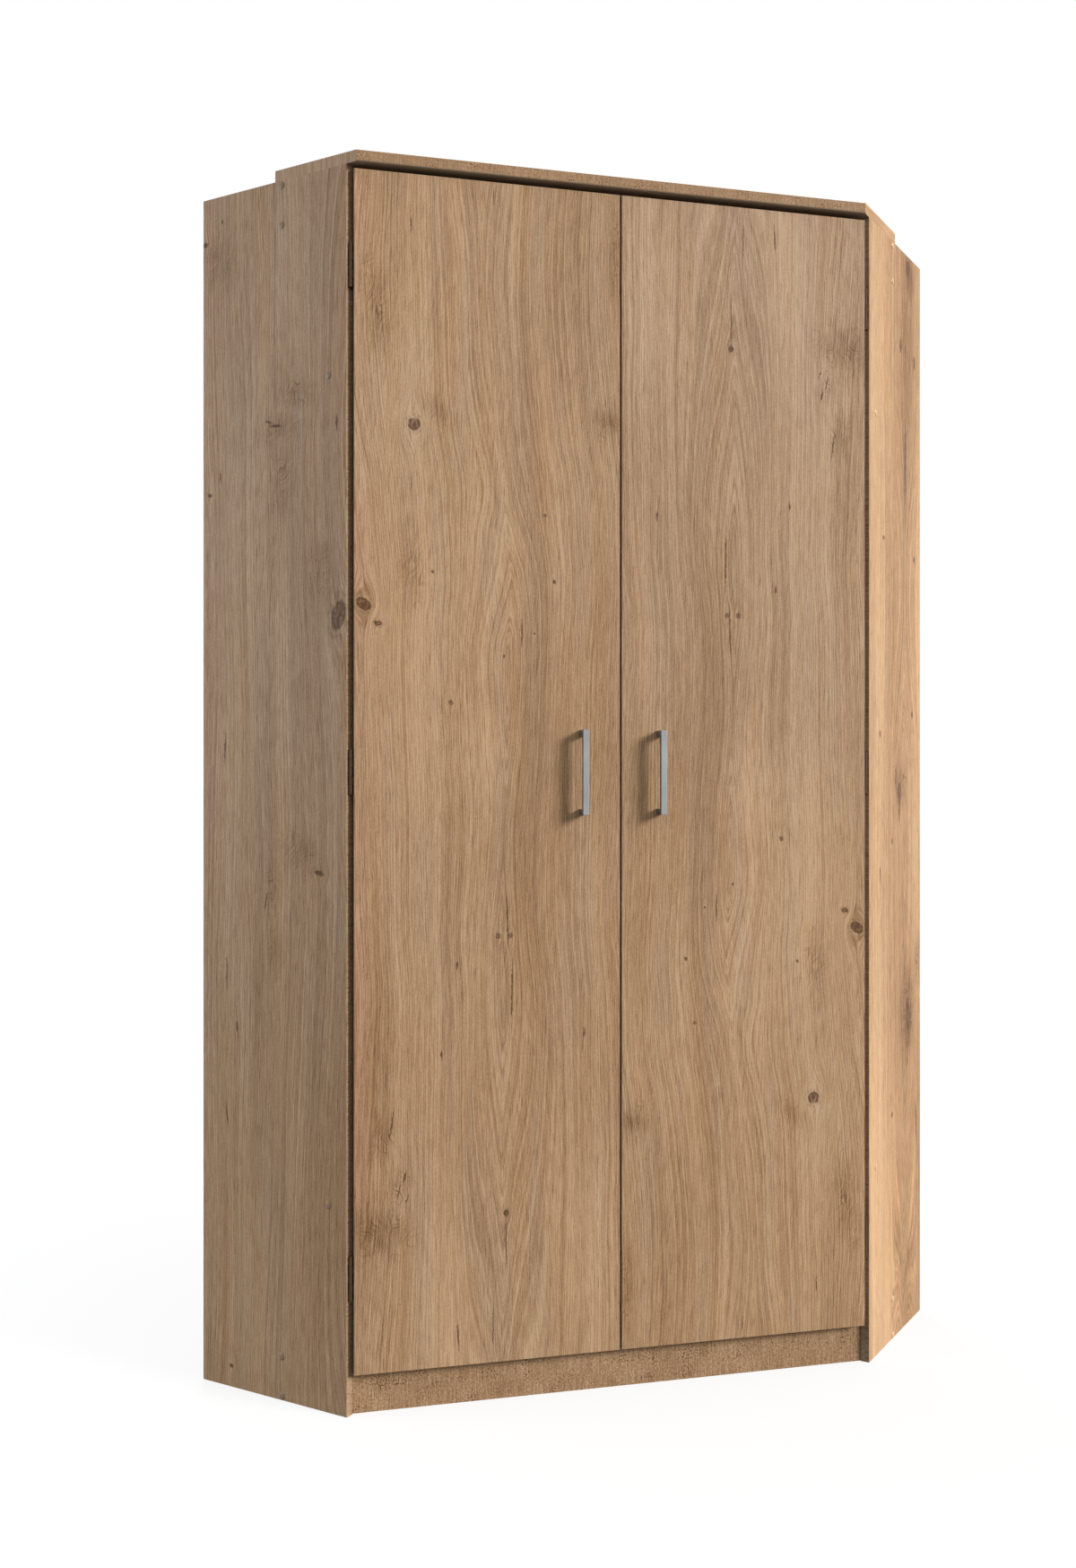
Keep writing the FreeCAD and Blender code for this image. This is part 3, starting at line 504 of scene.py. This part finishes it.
def flecked_oak(name, sheet, level, depth):
    """Oak decor on the narrow boards, where the grain crosses the width: sandy flecks, faint short lines
    and clusters of dark specks, all times a depth, about a level. The underside has painted shade: a duller,
    greyer colour in place of the decor. On the upper side the grain runs along the board. On the slanting
    ends it stands upright on the left and lies along the board on the right, with painted light: the left end
    is tinted cool like the shaded left panel, and the right end warm like the lit right panel."""
    finish = Finish(name, Specular_IOR_Level=DECOR_SHEEN)
    across, along, _ = sheet_places(finish, sheet)
    sand = finish.layer(SAND, along, across, detail=1.0)
    fleck = finish.layer(FLECKS, along, across, (0.0, 20.0), detail=1.0)
    line = finish.layer(SHORT_LINES, along, across, (0.0, 40.0))
    cloud = finish.layer(MOTTLE, along, across, (0.0, 60.0), detail=2.0)
    cluster = finish.layer(CLUSTERS, along, across, (0.0, 80.0), detail=1.0).step(*CLUSTER_EDGE)
    speck = finish.layer(DARK_SPECKS, along, across, (0.0, 90.0)).step(*PORE_EDGE)
    tone = sand * SAND.strength + fleck * FLECKS.strength + line * SHORT_LINES.strength
    tone = tone + cloud * MOTTLE.strength - speck * (DARK_SPECKS.strength + cluster * CLUSTERS.strength)
    oak_colour = oak_ramp(finish, tone * depth + level)

    x, y, z = finish.millimetres()
    run = (finish.math("ABSOLUTE", x) + y) * ROOT_HALF
    upright = finish.layer(UPRIGHT_FINE, run, z, detail=1.0) * UPRIGHT_FINE.strength
    upright = upright + finish.layer(UPRIGHT_BROAD, run, z) * UPRIGHT_BROAD.strength
    lying = finish.layer(LYING, z, run, (30.0, 0.0), detail=1.0) * LYING.strength
    # painted light: the trim's left end takes the left panel's cool tint, its right end the right panel's
    # warm tint
    left_end, right_end = (
        finish.multiply_colour(oak_ramp(finish, grain + END_LIFT), (*figure.cast[0][1], 1.0))
        for grain, figure in ((upright, LEFT_PANEL_FIGURE), (lying, RIGHT_PANEL_FIGURE)))
    ends = finish.mix_colour(finish.math("GREATER_THAN", x, 0.0), left_end, right_end)
    at_end = finish.math("ABSOLUTE", finish.dot("Normal", (1, 0, 0))).step(*TURNED_TO_END)
    oak_colour = finish.mix_colour(at_end, oak_colour, ends)
    lengthwise = finish.layer(LENGTHWISE_FINE, y, x, detail=1.0) * LENGTHWISE_FINE.strength
    lengthwise = lengthwise + finish.layer(LENGTHWISE_BROAD, y, x) * LENGTHWISE_BROAD.strength
    upper = finish.dot("Normal", (0, 0, 1)).step(*TURNED_FLAT)
    oak_colour = finish.mix_colour(upper, oak_colour, oak_ramp(finish, lengthwise))
    # painted shade: the underside takes a flat, duller colour in place of the decor
    shaded_underside = finish.dot("Normal", (0, 0, -1)).step(*TURNED_FLAT)
    finish.colour(finish.mix_colour(shaded_underside, oak_colour, UNDERSIDE_SHADE_COLOUR))
    finish.bump(sand * 0.4 - speck, strength=0.3, distance=DECOR_RELIEF)
    finish.rough(0.52 - 0.1 * sand)
    return finish.material


DOOR_FIGURE = Figure(
    heart=[(0, 205, 34, 0.1), (156, 204, 42, 0.3), (300, 212, 42, 0.2), (400, 222, 45, 0.3),
           (490, 236, 46, 0.7), (560, 240, 38, 0.9), (640, 245, 26, 1.0), (700, 243, 16, 1.0),
           (760, 241, 7, 1.0), (820, 241, 7, 0.8), (900, 241, 13, 0.8), (1000, 243, 22, 0.6),
           (1100, 243, 20, 0.4), (1200, 243, 13, 0.6), (1300, 250, 11, 0.8), (1400, 249, 18, 1.0),
           (1530, 246, 32, 1.0), (1651, 243, 46, 1.0), (1889, 236, 66, 0.8)],
    knots=[(95, 395, 9.5, 9.5, 0, 1.15), (15, 681, 12.5, 8.5, 35, 1.15), (38, 711, 5.5, 4.5, 0, 1.25),
           (154, 834, 4, 3.5, 0, 0.8), (231, 1207, 4.5, 4.5, 0, 0.9), (251, 1206, 4.5, 4.5, 0, 0.8),
           (244, 1651, 4.5, 4.5, 0, 1.2), (309, 530, 3, 3, 0, 0.8)],
    marks=[(324, 637, 3, 3.5, 0), (270, 722, 1.6, 24, 2), (291, 721, 2, 2.5, 0), (241, 759, 2, 3, 0),
           (125, 627, 2.5, 3, 0), (246, 1178, 1.3, 48, -2), (254, 1300, 1.4, 62, 1), (244, 1694, 1.0, 42, 0),
           (374, 1366, 1.6, 9, 0), (164, 1252, 1.8, 8, 8), (139, 1393, 1.8, 9, 0), (166, 1842, 1.8, 24, -3),
           (223, 1835, 0.9, 46, 0), (90, 80, 1.1, 14, 0), (223, 24, 1.4, 12, 0), (36, 222, 1.4, 16, -4),
           (80, 1583, 1.6, 11, 12), (70, 1608, 1.4, 12, 14), (84, 1617, 1.4, 8, 18), (59, 1500, 1.6, 26, 9)],
    burls=[(132, 370, 40, 22, 35), (414, 372, 28, 42, 0), (428, 105, 18, 90, 0), (90, 622, 28, 85, 0),
           (40, 1665, 75, 60, 15), (70, 1595, 26, 70, 10), (45, 1520, 26, 50, 0), (34, 210, 26, 110, -6)],
    washes=[(110, 900, 80, 1900, 8), (285, 1050, 80, 800, -10), (430, 480, 70, 460, 9),
            (20, 1550, 80, 460, -9), (130, 1750, 60, 300, 8), (25, 560, 90, 700, 11),
            (400, 150, 100, 320, -8), (390, 1720, 90, 330, 11), (215, 944, 90, 150, 9),
            (400, 944, 80, 160, -9), (50, 1574, 90, 180, 8), (242, 1207, 26, 14, 12),
            (36, 215, 16, 90, -6), (40, 1668, 60, 36, -12), (420, 374, 22, 26, -20)],
)
RIGHT_DOOR_FIGURE = copy(DOOR_FIGURE)
# painted light: the right door is lighter from its lower third up to its top, and bluer towards the top
RIGHT_DOOR_FIGURE.washes = DOOR_FIGURE.washes + [(50, 1480, 200, 600, 9), (150, 800, 160, 400, 5)]
RIGHT_DOOR_FIGURE.cast = [(0.2, (1.01, 1.005, 0.99)), (0.6, (1.01, 1.03, 1.07)), (1.0, (1.01, 1.04, 1.12))]
LEFT_PANEL_FIGURE = Figure(
    heart=[(0, 330, 40, 0.5), (500, 335, 10, 0.5), (981, 340, 45, 0.5), (1500, 335, 10, 0.5),
           (1962, 330, 50, 0.5)],
    knots=[(284, 706, 13, 23, 15, 1.05), (245, 1112, 9, 3.5, 15, 1.2),
           (5, 74, 5, 4, 0, 1.2), (15, 492, 4, 3, 0, 1.2), (61, 1927, 4, 3, 30, 1.3)],
    marks=[(42, 42, 2.2, 5, 0), (155, 393, 13, 3, 8), (143, 386, 10, 2, 14), (280, 403, 2, 14, 0),
           (135, 1162, 2, 16, 12), (74, 1369, 2, 9, 0), (52, 1515, 1.8, 18, -8), (48, 910, 1.8, 24, 3),
           (52, 1280, 1.6, 30, 0), (38, 465, 2, 8, 0)],
    burls=[(35, 105, 46, 60, 0), (200, 345, 60, 34, 20), (160, 400, 62, 34, 0), (170, 480, 26, 80, 0),
           (255, 640, 40, 70, 0), (200, 1075, 60, 42, 20), (150, 1140, 22, 60, 0), (155, 1240, 18, 60, 0)],
    washes=[(70, 800, 80, 1400, 6), (235, 1450, 60, 1000, -7), (290, 981, 30, 1900, -6),
            (190, 90, 70, 260, 8), (125, 1850, 80, 260, 8), (150, 250, 70, 300, 5), (25, 1050, 60, 800, -7)],
    shift=37.0, depth=0.92, lean=0.6, wildness=0.9,
    # painted shade: cool tint of the shaded left panel
    cast=[(0.0, (1.02, 1.07, 1.21)), (0.5, (0.99, 1.02, 1.1)), (1.0, (1.05, 1.07, 1.11))],
    edge_shade=(0.93, 0.98, 1.08),
)
RIGHT_PANEL_FIGURE = Figure(
    heart=[(0, 215, 10, 0.2), (300, 212, 30, 0.2), (600, 208, 60, 0.3), (760, 206, 50, 0.6),
           (860, 205, 30, 1.0), (960, 205, 5, 1.0), (1300, 203, 14, 0.4), (1962, 200, 90, 0.5)],
    knots=[(170, 985, 11, 15, 0, 0.9), (226, 1400, 13, 24, 0, 0.7)],
    marks=[(273, 1600, 4, 40, -5), (206, 380, 4, 70, 2), (222, 22, 12, 16, 0), (179, 176, 8, 13, 15),
           (262, 187, 7, 13, 0), (79, 537, 6, 5, -20), (261, 553, 6, 7, 0), (248, 842, 6, 7, 0),
           (59, 883, 5, 7, 0), (170, 1012, 5, 26, 0), (127, 1072, 5, 7, 0), (127, 1562, 6, 6, 0),
           (150, 960, 4, 22, 4), (60, 1130, 3, 16, 0)],
    burls=[(222, 1380, 60, 110, 0), (180, 970, 40, 50, 0), (280, 1300, 24, 60, 0)],
    # partly painted light and partly print: the first two washes make the panel lighter towards its front
    # edge and darker towards the rear
    washes=[(40, 981, 100, 4000, 14), (180, 981, 90, 4000, -12), (218, 90, 60, 240, -12),
            (206, 400, 14, 150, -22), (290, 700, 50, 900, 9), (120, 640, 80, 380, -9),
            (285, 1560, 60, 320, -12), (215, 1400, 60, 130, -12), (60, 1750, 150, 560, 22),
            (225, 250, 60, 330, -12), (10, 200, 90, 300, 8),
            (236, 30, 40, 62, -30)],
    shift=83.0, depth=1.22, lean=0.5, wildness=1.4,
    # painted light: warm tint of the lit right panel
    cast=[(0.0, (1.02, 0.95, 0.84))], edge_shade=(0.74, 0.83, 0.95),
)
PLAIN_FIGURE = Figure(heart=[(0, 480, 20, 0.5), (1000, 470, 30, 0.5)], shift=12.0)


def oak_on_boards():
    """Lays the decor on every board of the wardrobe and returns the finishes by node."""
    finishes = {}
    low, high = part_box("left_door")
    width, length, thick = high.x - low.x, high.z - low.z, high.y - low.y
    down, up = (0, 0, -1), (0, 0, 1)
    sheet = Sheet((low.x, low.y, high.z), (1, 0, 0), down, FRONT_OUT, width, length, thick)
    finishes["left_door"] = oak("oak_left_door", sheet, DOOR_FIGURE)
    sheet = Sheet((-low.x, low.y, low.z), (-1, 0, 0), up, FRONT_OUT, width, length, thick)
    finishes["right_door"] = oak("oak_right_door", sheet, RIGHT_DOOR_FIGURE)

    low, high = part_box("left_end_panel")
    depth = (high.y - low.y) * sqrt(2) - BOARD
    rear = (low.x, high.y - BOARD * ROOT_HALF, high.z)
    sheet = Sheet(rear, LEFT_FORWARD, down, LEFT_OUT, depth, high.z, BOARD)
    finishes["left_end_panel"] = oak("oak_left_end_panel", sheet, LEFT_PANEL_FIGURE)
    front = (-high.x + BOARD * ROOT_HALF, low.y, high.z)
    sheet = Sheet(front, RIGHT_BACK, down, RIGHT_OUT, depth, high.z, BOARD)
    finishes["right_end_panel"] = oak("oak_right_end_panel", sheet, RIGHT_PANEL_FIGURE)

    for node, level, depth in (("top_trim_board", -9.0, 0.72), ("plinth_board", -5.0, 1.0)):
        low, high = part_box(node)
        size = high - low
        sheet = Sheet((low.x, low.y, high.z), down, (1, 0, 0), FRONT_OUT, size.z, size.x, size.y)
        finishes[node] = flecked_oak("oak_" + node, sheet, level, depth)
    for node in ("top_board", "bottom_board", "lower_shelf", "hat_shelf"):
        low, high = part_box(node)
        size = high - low
        sheet = Sheet((low.x, low.y, high.z), (0, 1, 0), (1, 0, 0), (0, 0, 1), size.y, size.x, size.z)
        finishes[node] = oak("oak_" + node, sheet, PLAIN_FIGURE)
    for node, along, out in (
        ("left_plinth_rail", LEFT_OUT, LEFT_FORWARD), ("left_top_rail", LEFT_OUT, LEFT_FORWARD),
        ("right_plinth_rail", RIGHT_OUT, LEFT_OUT), ("right_top_rail", RIGHT_OUT, LEFT_OUT),
    ):
        low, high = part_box(node)
        size = high - low
        sheet = Sheet((low.x, low.y, high.z), down, along, out, size.z, size.x * sqrt(2), BOARD)
        finishes[node] = oak("oak_" + node, sheet, PLAIN_FIGURE)
    return finishes


# Other finishes

def shades(tone, *factors):
    """Evenly spaced stops of a ramp: a screen colour times each factor."""
    last = len(factors) - 1
    return [(k / last, from_srgb(*[min(255, factor * t) for t in tone])) for k, factor in enumerate(factors)]


def satin_metal():
    """Satin grey metal: fine brushing along the bar and small changes of sheen."""
    finish = Finish("satin_grey_metal", Metallic=1.0)
    x, y, z = finish.millimetres()
    brush_width, brush_length = 0.12, 9.0
    brush = finish.noise((x + y) / brush_width, z / brush_length, detail=2.0)
    cloud_width, cloud_length = 12.0, 30.0
    cloud = finish.noise(x / cloud_width, y / cloud_width, z / cloud_length)
    finish.colour(finish.ramp(0.5 + 0.4 * brush + 0.5 * cloud, [
        (0.0, from_srgb(122, 124, 126)), (0.5, from_srgb(142, 144, 145)), (1.0, from_srgb(158, 160, 161))]))
    finish.rough(0.42 + 0.12 * brush)
    finish.bump(brush, strength=0.06, distance=0.0001)
    return finish.material


def plain_metal(name, tone, roughness, grain=0.3, metallic=1.0):
    """Plated or bronzed steel with a fine mottled sheen. The tone is a screen colour."""
    finish = Finish(name, Metallic=metallic, Specular_IOR_Level=0.5 * metallic)
    cell = 1.4
    x, y, z = finish.millimetres()
    mottle = finish.noise(x / cell, y / cell, z / cell, detail=3.0)
    finish.colour(finish.ramp(0.5 + grain * 2.0 * mottle, shades(tone, 0.82, 1.0, 1.1)))
    finish.rough(roughness + 0.25 * mottle)
    finish.bump(mottle, strength=0.05, distance=0.0001)
    return finish.material


def moulded_plastic(name, tone, roughness):
    """Moulded plastic with a fine sandy skin."""
    finish = Finish(name, Specular_IOR_Level=0.4)
    grit, patch = 0.5, 6.0
    x, y, z = finish.millimetres()
    sand = finish.noise(x / grit, y / grit, z / grit, detail=2.0)
    cloud = finish.noise(x / patch, y / patch, z / patch)
    finish.colour(finish.ramp(0.5 + 0.6 * cloud + 0.3 * sand, shades(tone, 0.86, 1.1)))
    finish.rough(roughness + 0.15 * sand)
    finish.bump(sand, strength=0.12, distance=0.0001)
    return finish.material


def bare_wood(name, tone):
    """Bare wood: straight fine grain along the upright direction."""
    finish = Finish(name, Specular_IOR_Level=0.25)
    fine, broad, stretch = 2.2, 7.0, 14.0
    x, y, z = finish.millimetres()
    streak = finish.noise(x / fine, y / fine, z / (fine * stretch), detail=3.0)
    band = finish.noise(x / broad, y / broad, z / (broad * stretch))
    finish.colour(finish.ramp(0.5 + 0.8 * streak + 0.7 * band, shades(tone, 0.78, 1.0, 1.1)))
    finish.rough(0.62 + 0.2 * streak)
    finish.bump(streak, strength=0.2, distance=0.0003)
    return finish.material


FIBREBOARD_FELT = Layer(1.6, 1.9, 1.1)
FIBREBOARD_CLOUDS = Layer(120.0, 160.0, 0.25)
FIBREBOARD_STREAKS = Layer(3.0, 160.0, 0.8)
SCREEN_PITCH = 3.2


def hardboard(name, out):
    """Thin hardboard: oak-coloured lacquer towards the inside, and bare brown fibre with a fine screen
    pattern towards the wall."""
    finish = Finish(name, Specular_IOR_Level=0.25)
    x, y, z = finish.millimetres()
    run = x * out[1] - y * out[0]
    rear = finish.dot("Normal", out).step(*TURNED_FLAT)
    felt = finish.layer(FIBREBOARD_FELT, run, z, detail=3.0)
    cloud = finish.layer(FIBREBOARD_CLOUDS, run, z, detail=2.0) * FIBREBOARD_CLOUDS.strength
    streak = finish.layer(FIBREBOARD_STREAKS, run, z, detail=2.0) * FIBREBOARD_STREAKS.strength
    turns = 2 * pi / SCREEN_PITCH
    screen = finish.math("SINE", run * turns) * finish.math("SINE", z * turns)
    inside = finish.ramp(0.5 + streak + cloud, [
        (0.0, from_srgb(146, 115, 86)), (0.5, from_srgb(173, 140, 109)), (1.0, from_srgb(190, 158, 128))])
    outside = finish.ramp(0.5 + felt * FIBREBOARD_FELT.strength + cloud + 0.1 * screen, [
        (0.0, from_srgb(96, 70, 48)), (0.5, from_srgb(128, 96, 66)), (1.0, from_srgb(152, 118, 84))])
    finish.colour(finish.mix_colour(rear, inside, outside))
    finish.rough(0.6 + 0.2 * felt)
    finish.bump(rear * (screen * 0.5 + felt), strength=0.25, distance=0.0003)
    return finish.material


SHARED_FINISHES = {
    # painted light: the shared cap colour is paler than the oak, so that the caps look lit on the right panel
    "oak_coloured_cap": moulded_plastic("oak_coloured_cap", (205, 164, 122), roughness=0.25),
    "satin_grey_metal": satin_metal(),
    "bronzed_steel": plain_metal("bronzed_steel", (94, 72, 51), roughness=0.75, metallic=0.2),
    "chromed_steel": plain_metal("chromed_steel", (214, 215, 217), roughness=0.12, grain=0.1),
    "black_plastic": moulded_plastic("black_plastic", (38, 38, 38), roughness=0.5),
    "brown_plastic": moulded_plastic("brown_plastic", (84, 60, 42), roughness=0.45),
    "soft_buffer": moulded_plastic("soft_buffer", (196, 195, 188), roughness=0.5),
    "zinc_plated_steel": plain_metal("zinc_plated_steel", (184, 186, 188), roughness=0.32),
    "plain_pine": bare_wood("plain_pine", (205, 168, 120)),
    "beech_dowel": bare_wood("beech_dowel", (208, 174, 134)),
}


def dress():
    """Gives every CAD node its finish: the oak boards and back panels their own, the rest by slot."""
    finishes = oak_on_boards()
    finishes["left_back_panel"] = hardboard("left_hardboard", (-ROOT_HALF, ROOT_HALF, 0))
    finishes["right_back_panel"] = hardboard("right_hardboard", (ROOT_HALF, ROOT_HALF, 0))
    # painted shade: the caps on the shaded left panel get a darker copy of the cap colour
    finishes["left_cover_caps"] = moulded_plastic("shaded_side_oak_cap", (142, 114, 87), roughness=0.35)
    slots = {entry["node"]: entry["material_slot"] for entry in frame["record"]["subparts"]}
    for node, piece in frame["nodes"].items():
        finish = finishes.get(node) or SHARED_FINISHES[slots[node]]
        piece.data.materials.clear()
        piece.data.materials.append(finish)


dress()


# Studio

FLOOR_COLOUR = (0.95, 0.95, 0.95, 1)
SHADOW_SHARE = 0.2           # how much of the floor's shadow the lens sees
SHADOW_FADE = (0.8, 2.2)     # metres from the origin over which it fades out


def white_to_the_lens(tree):
    """Share that is 1 for rays from the lens and for reflections, so that they see a white room."""
    rays = tree.nodes.new("ShaderNodeLightPath")
    total = rays.outputs["Is Camera Ray"]
    for name in ("Is Glossy Ray", "Is Transmission Ray"):
        both = tree.nodes.new("ShaderNodeMath")
        both.operation = "MAXIMUM"
        tree.links.new(total, both.inputs[0])
        tree.links.new(rays.outputs[name], both.inputs[1])
        total = both.outputs[0]
    return total


def white_room(strength, colour):
    """Even light from all round, and white for the lens."""
    world = bpy.data.worlds.new("white_room")
    world.use_nodes = True
    tree = world.node_tree
    tree.nodes.clear()
    light = tree.nodes.new("ShaderNodeBackground")
    light.inputs["Color"].default_value = colour
    light.inputs["Strength"].default_value = strength
    white = tree.nodes.new("ShaderNodeBackground")
    white.inputs["Color"].default_value = (1, 1, 1, 1)
    white.inputs["Strength"].default_value = 1.0
    mix = tree.nodes.new("ShaderNodeMixShader")
    output = tree.nodes.new("ShaderNodeOutputWorld")
    tree.links.new(white_to_the_lens(tree), mix.inputs[0])
    tree.links.new(light.outputs[0], mix.inputs[1])
    tree.links.new(white.outputs[0], mix.inputs[2])
    tree.links.new(mix.outputs[0], output.inputs[0])
    bpy.context.scene.world = world


def pale_floor(reach, bounce):
    """Level square about the origin. The lens sees white, with a soft shadow near the part, and the part gets
    a duller bounce."""
    corners = np.array([(-1, -1, 0), (1, -1, 0), (1, 1, 0), (-1, 1, 0)]) * reach
    mesh = bpy.data.meshes.new("floor")
    mesh.from_pydata(corners.tolist(), [], [(0, 1, 2, 3)])
    material = bpy.data.materials.new("pale_floor")
    material.use_nodes = True
    tree = material.node_tree
    tree.nodes.clear()
    dull, pale, glow, soft, mix, output, places, distance, fade = (tree.nodes.new(kind) for kind in (
        "ShaderNodeBsdfDiffuse", "ShaderNodeBsdfDiffuse", "ShaderNodeEmission", "ShaderNodeMixShader",
        "ShaderNodeMixShader", "ShaderNodeOutputMaterial", "ShaderNodeTexCoord", "ShaderNodeVectorMath",
        "ShaderNodeMapRange"))
    dull.inputs["Color"].default_value = bounce
    pale.inputs["Color"].default_value = FLOOR_COLOUR
    glow.inputs["Strength"].default_value = 1.0
    distance.operation = "LENGTH"
    fade.interpolation_type = "SMOOTHSTEP"
    near, far = SHADOW_FADE
    for socket, value in (("From Min", near), ("From Max", far), ("To Min", SHADOW_SHARE), ("To Max", 0.0)):
        fade.inputs[socket].default_value = value
    for start, end in (
        (places.outputs["Object"], distance.inputs[0]),
        (distance.outputs["Value"], fade.inputs["Value"]),
        (fade.outputs["Result"], soft.inputs[0]),
        (glow.outputs[0], soft.inputs[1]),
        (pale.outputs[0], soft.inputs[2]),
        (white_to_the_lens(tree), mix.inputs[0]),
        (dull.outputs[0], mix.inputs[1]),
        (soft.outputs[0], mix.inputs[2]),
        (mix.outputs[0], output.inputs[0]),
    ):
        tree.links.new(start, end)
    mesh.materials.append(material)
    floor = bpy.data.objects.new("floor", mesh)
    bpy.context.scene.collection.objects.link(floor)


def soft_lamp(name, place, target, size, power, colour):
    """Square area lamp that looks at a target."""
    data = bpy.data.lights.new(name, "AREA")
    data.shape = "SQUARE"
    data.size = size
    data.energy = power
    data.color = colour
    lamp = bpy.data.objects.new(name, data)
    aim = np.array(target) - np.array(place)
    lamp.location = place
    tilt = np.arctan2(aim[2], np.hypot(aim[0], aim[1]))
    lamp.rotation_euler = (pi / 2 + tilt, 0, np.arctan2(-aim[0], aim[1]))
    bpy.context.scene.collection.objects.link(lamp)


def sun_lamp(name, heading, height, spread, strength, colour):
    """Far lamp. Heading is its angle from the front towards the right, height its angle above the level,
    and spread its own width seen from the part, all in degrees."""
    data = bpy.data.lights.new(name, "SUN")
    data.angle = radians(spread)
    data.energy = strength
    data.color = colour
    lamp = bpy.data.objects.new(name, data)
    lamp.rotation_euler = (radians(90 - height), 0, radians(heading))
    bpy.context.scene.collection.objects.link(lamp)


MIDDLE = (0, -0.42, 1.0)
FILL_SIZE = 2.0
white_room(strength=0.68, colour=(0.98, 0.99, 1.0, 1))
pale_floor(reach=30.0, bounce=(0.06, 0.06, 0.06, 1))
sun_lamp("key", heading=54.0, height=22.0, spread=19.0, strength=3.3, colour=(1.0, 0.99, 0.97))
for name, place, power, colour in (
    ("right_fill", (3.16, 0.03, 1.22), 10, (1.0, 0.92, 0.8)),
    ("left_fill", (-3.12, 0.13, 1.44), 38, (0.88, 0.96, 1.0)),
    ("rear_fill", (0, 3.6, 1.8), 70, (1.0, 1.0, 1.0)),
):
    soft_lamp(name, place, MIDDLE, FILL_SIZE, power, colour)

# Camera: level, with the photograph's place, heading and field of view

PHOTO_HEIGHT = 1748
FOCAL_PIXELS = 1666.95
CAMERA_PLACE = (-0.73917, -2.75337, 0.99130)
CAMERA_HEADING = -14.397    # degrees from straight at the front
lens = bpy.data.cameras.new("camera")
lens.sensor_width = 36.0
lens.lens = lens.sensor_width * FOCAL_PIXELS / PHOTO_HEIGHT
camera = bpy.data.objects.new("camera", lens)
camera.location = CAMERA_PLACE
camera.rotation_euler = (pi / 2, 0, radians(CAMERA_HEADING))
bpy.context.scene.collection.objects.link(camera)
bpy.context.scene.camera = camera
bpy.context.scene.view_settings.view_transform = "Standard"
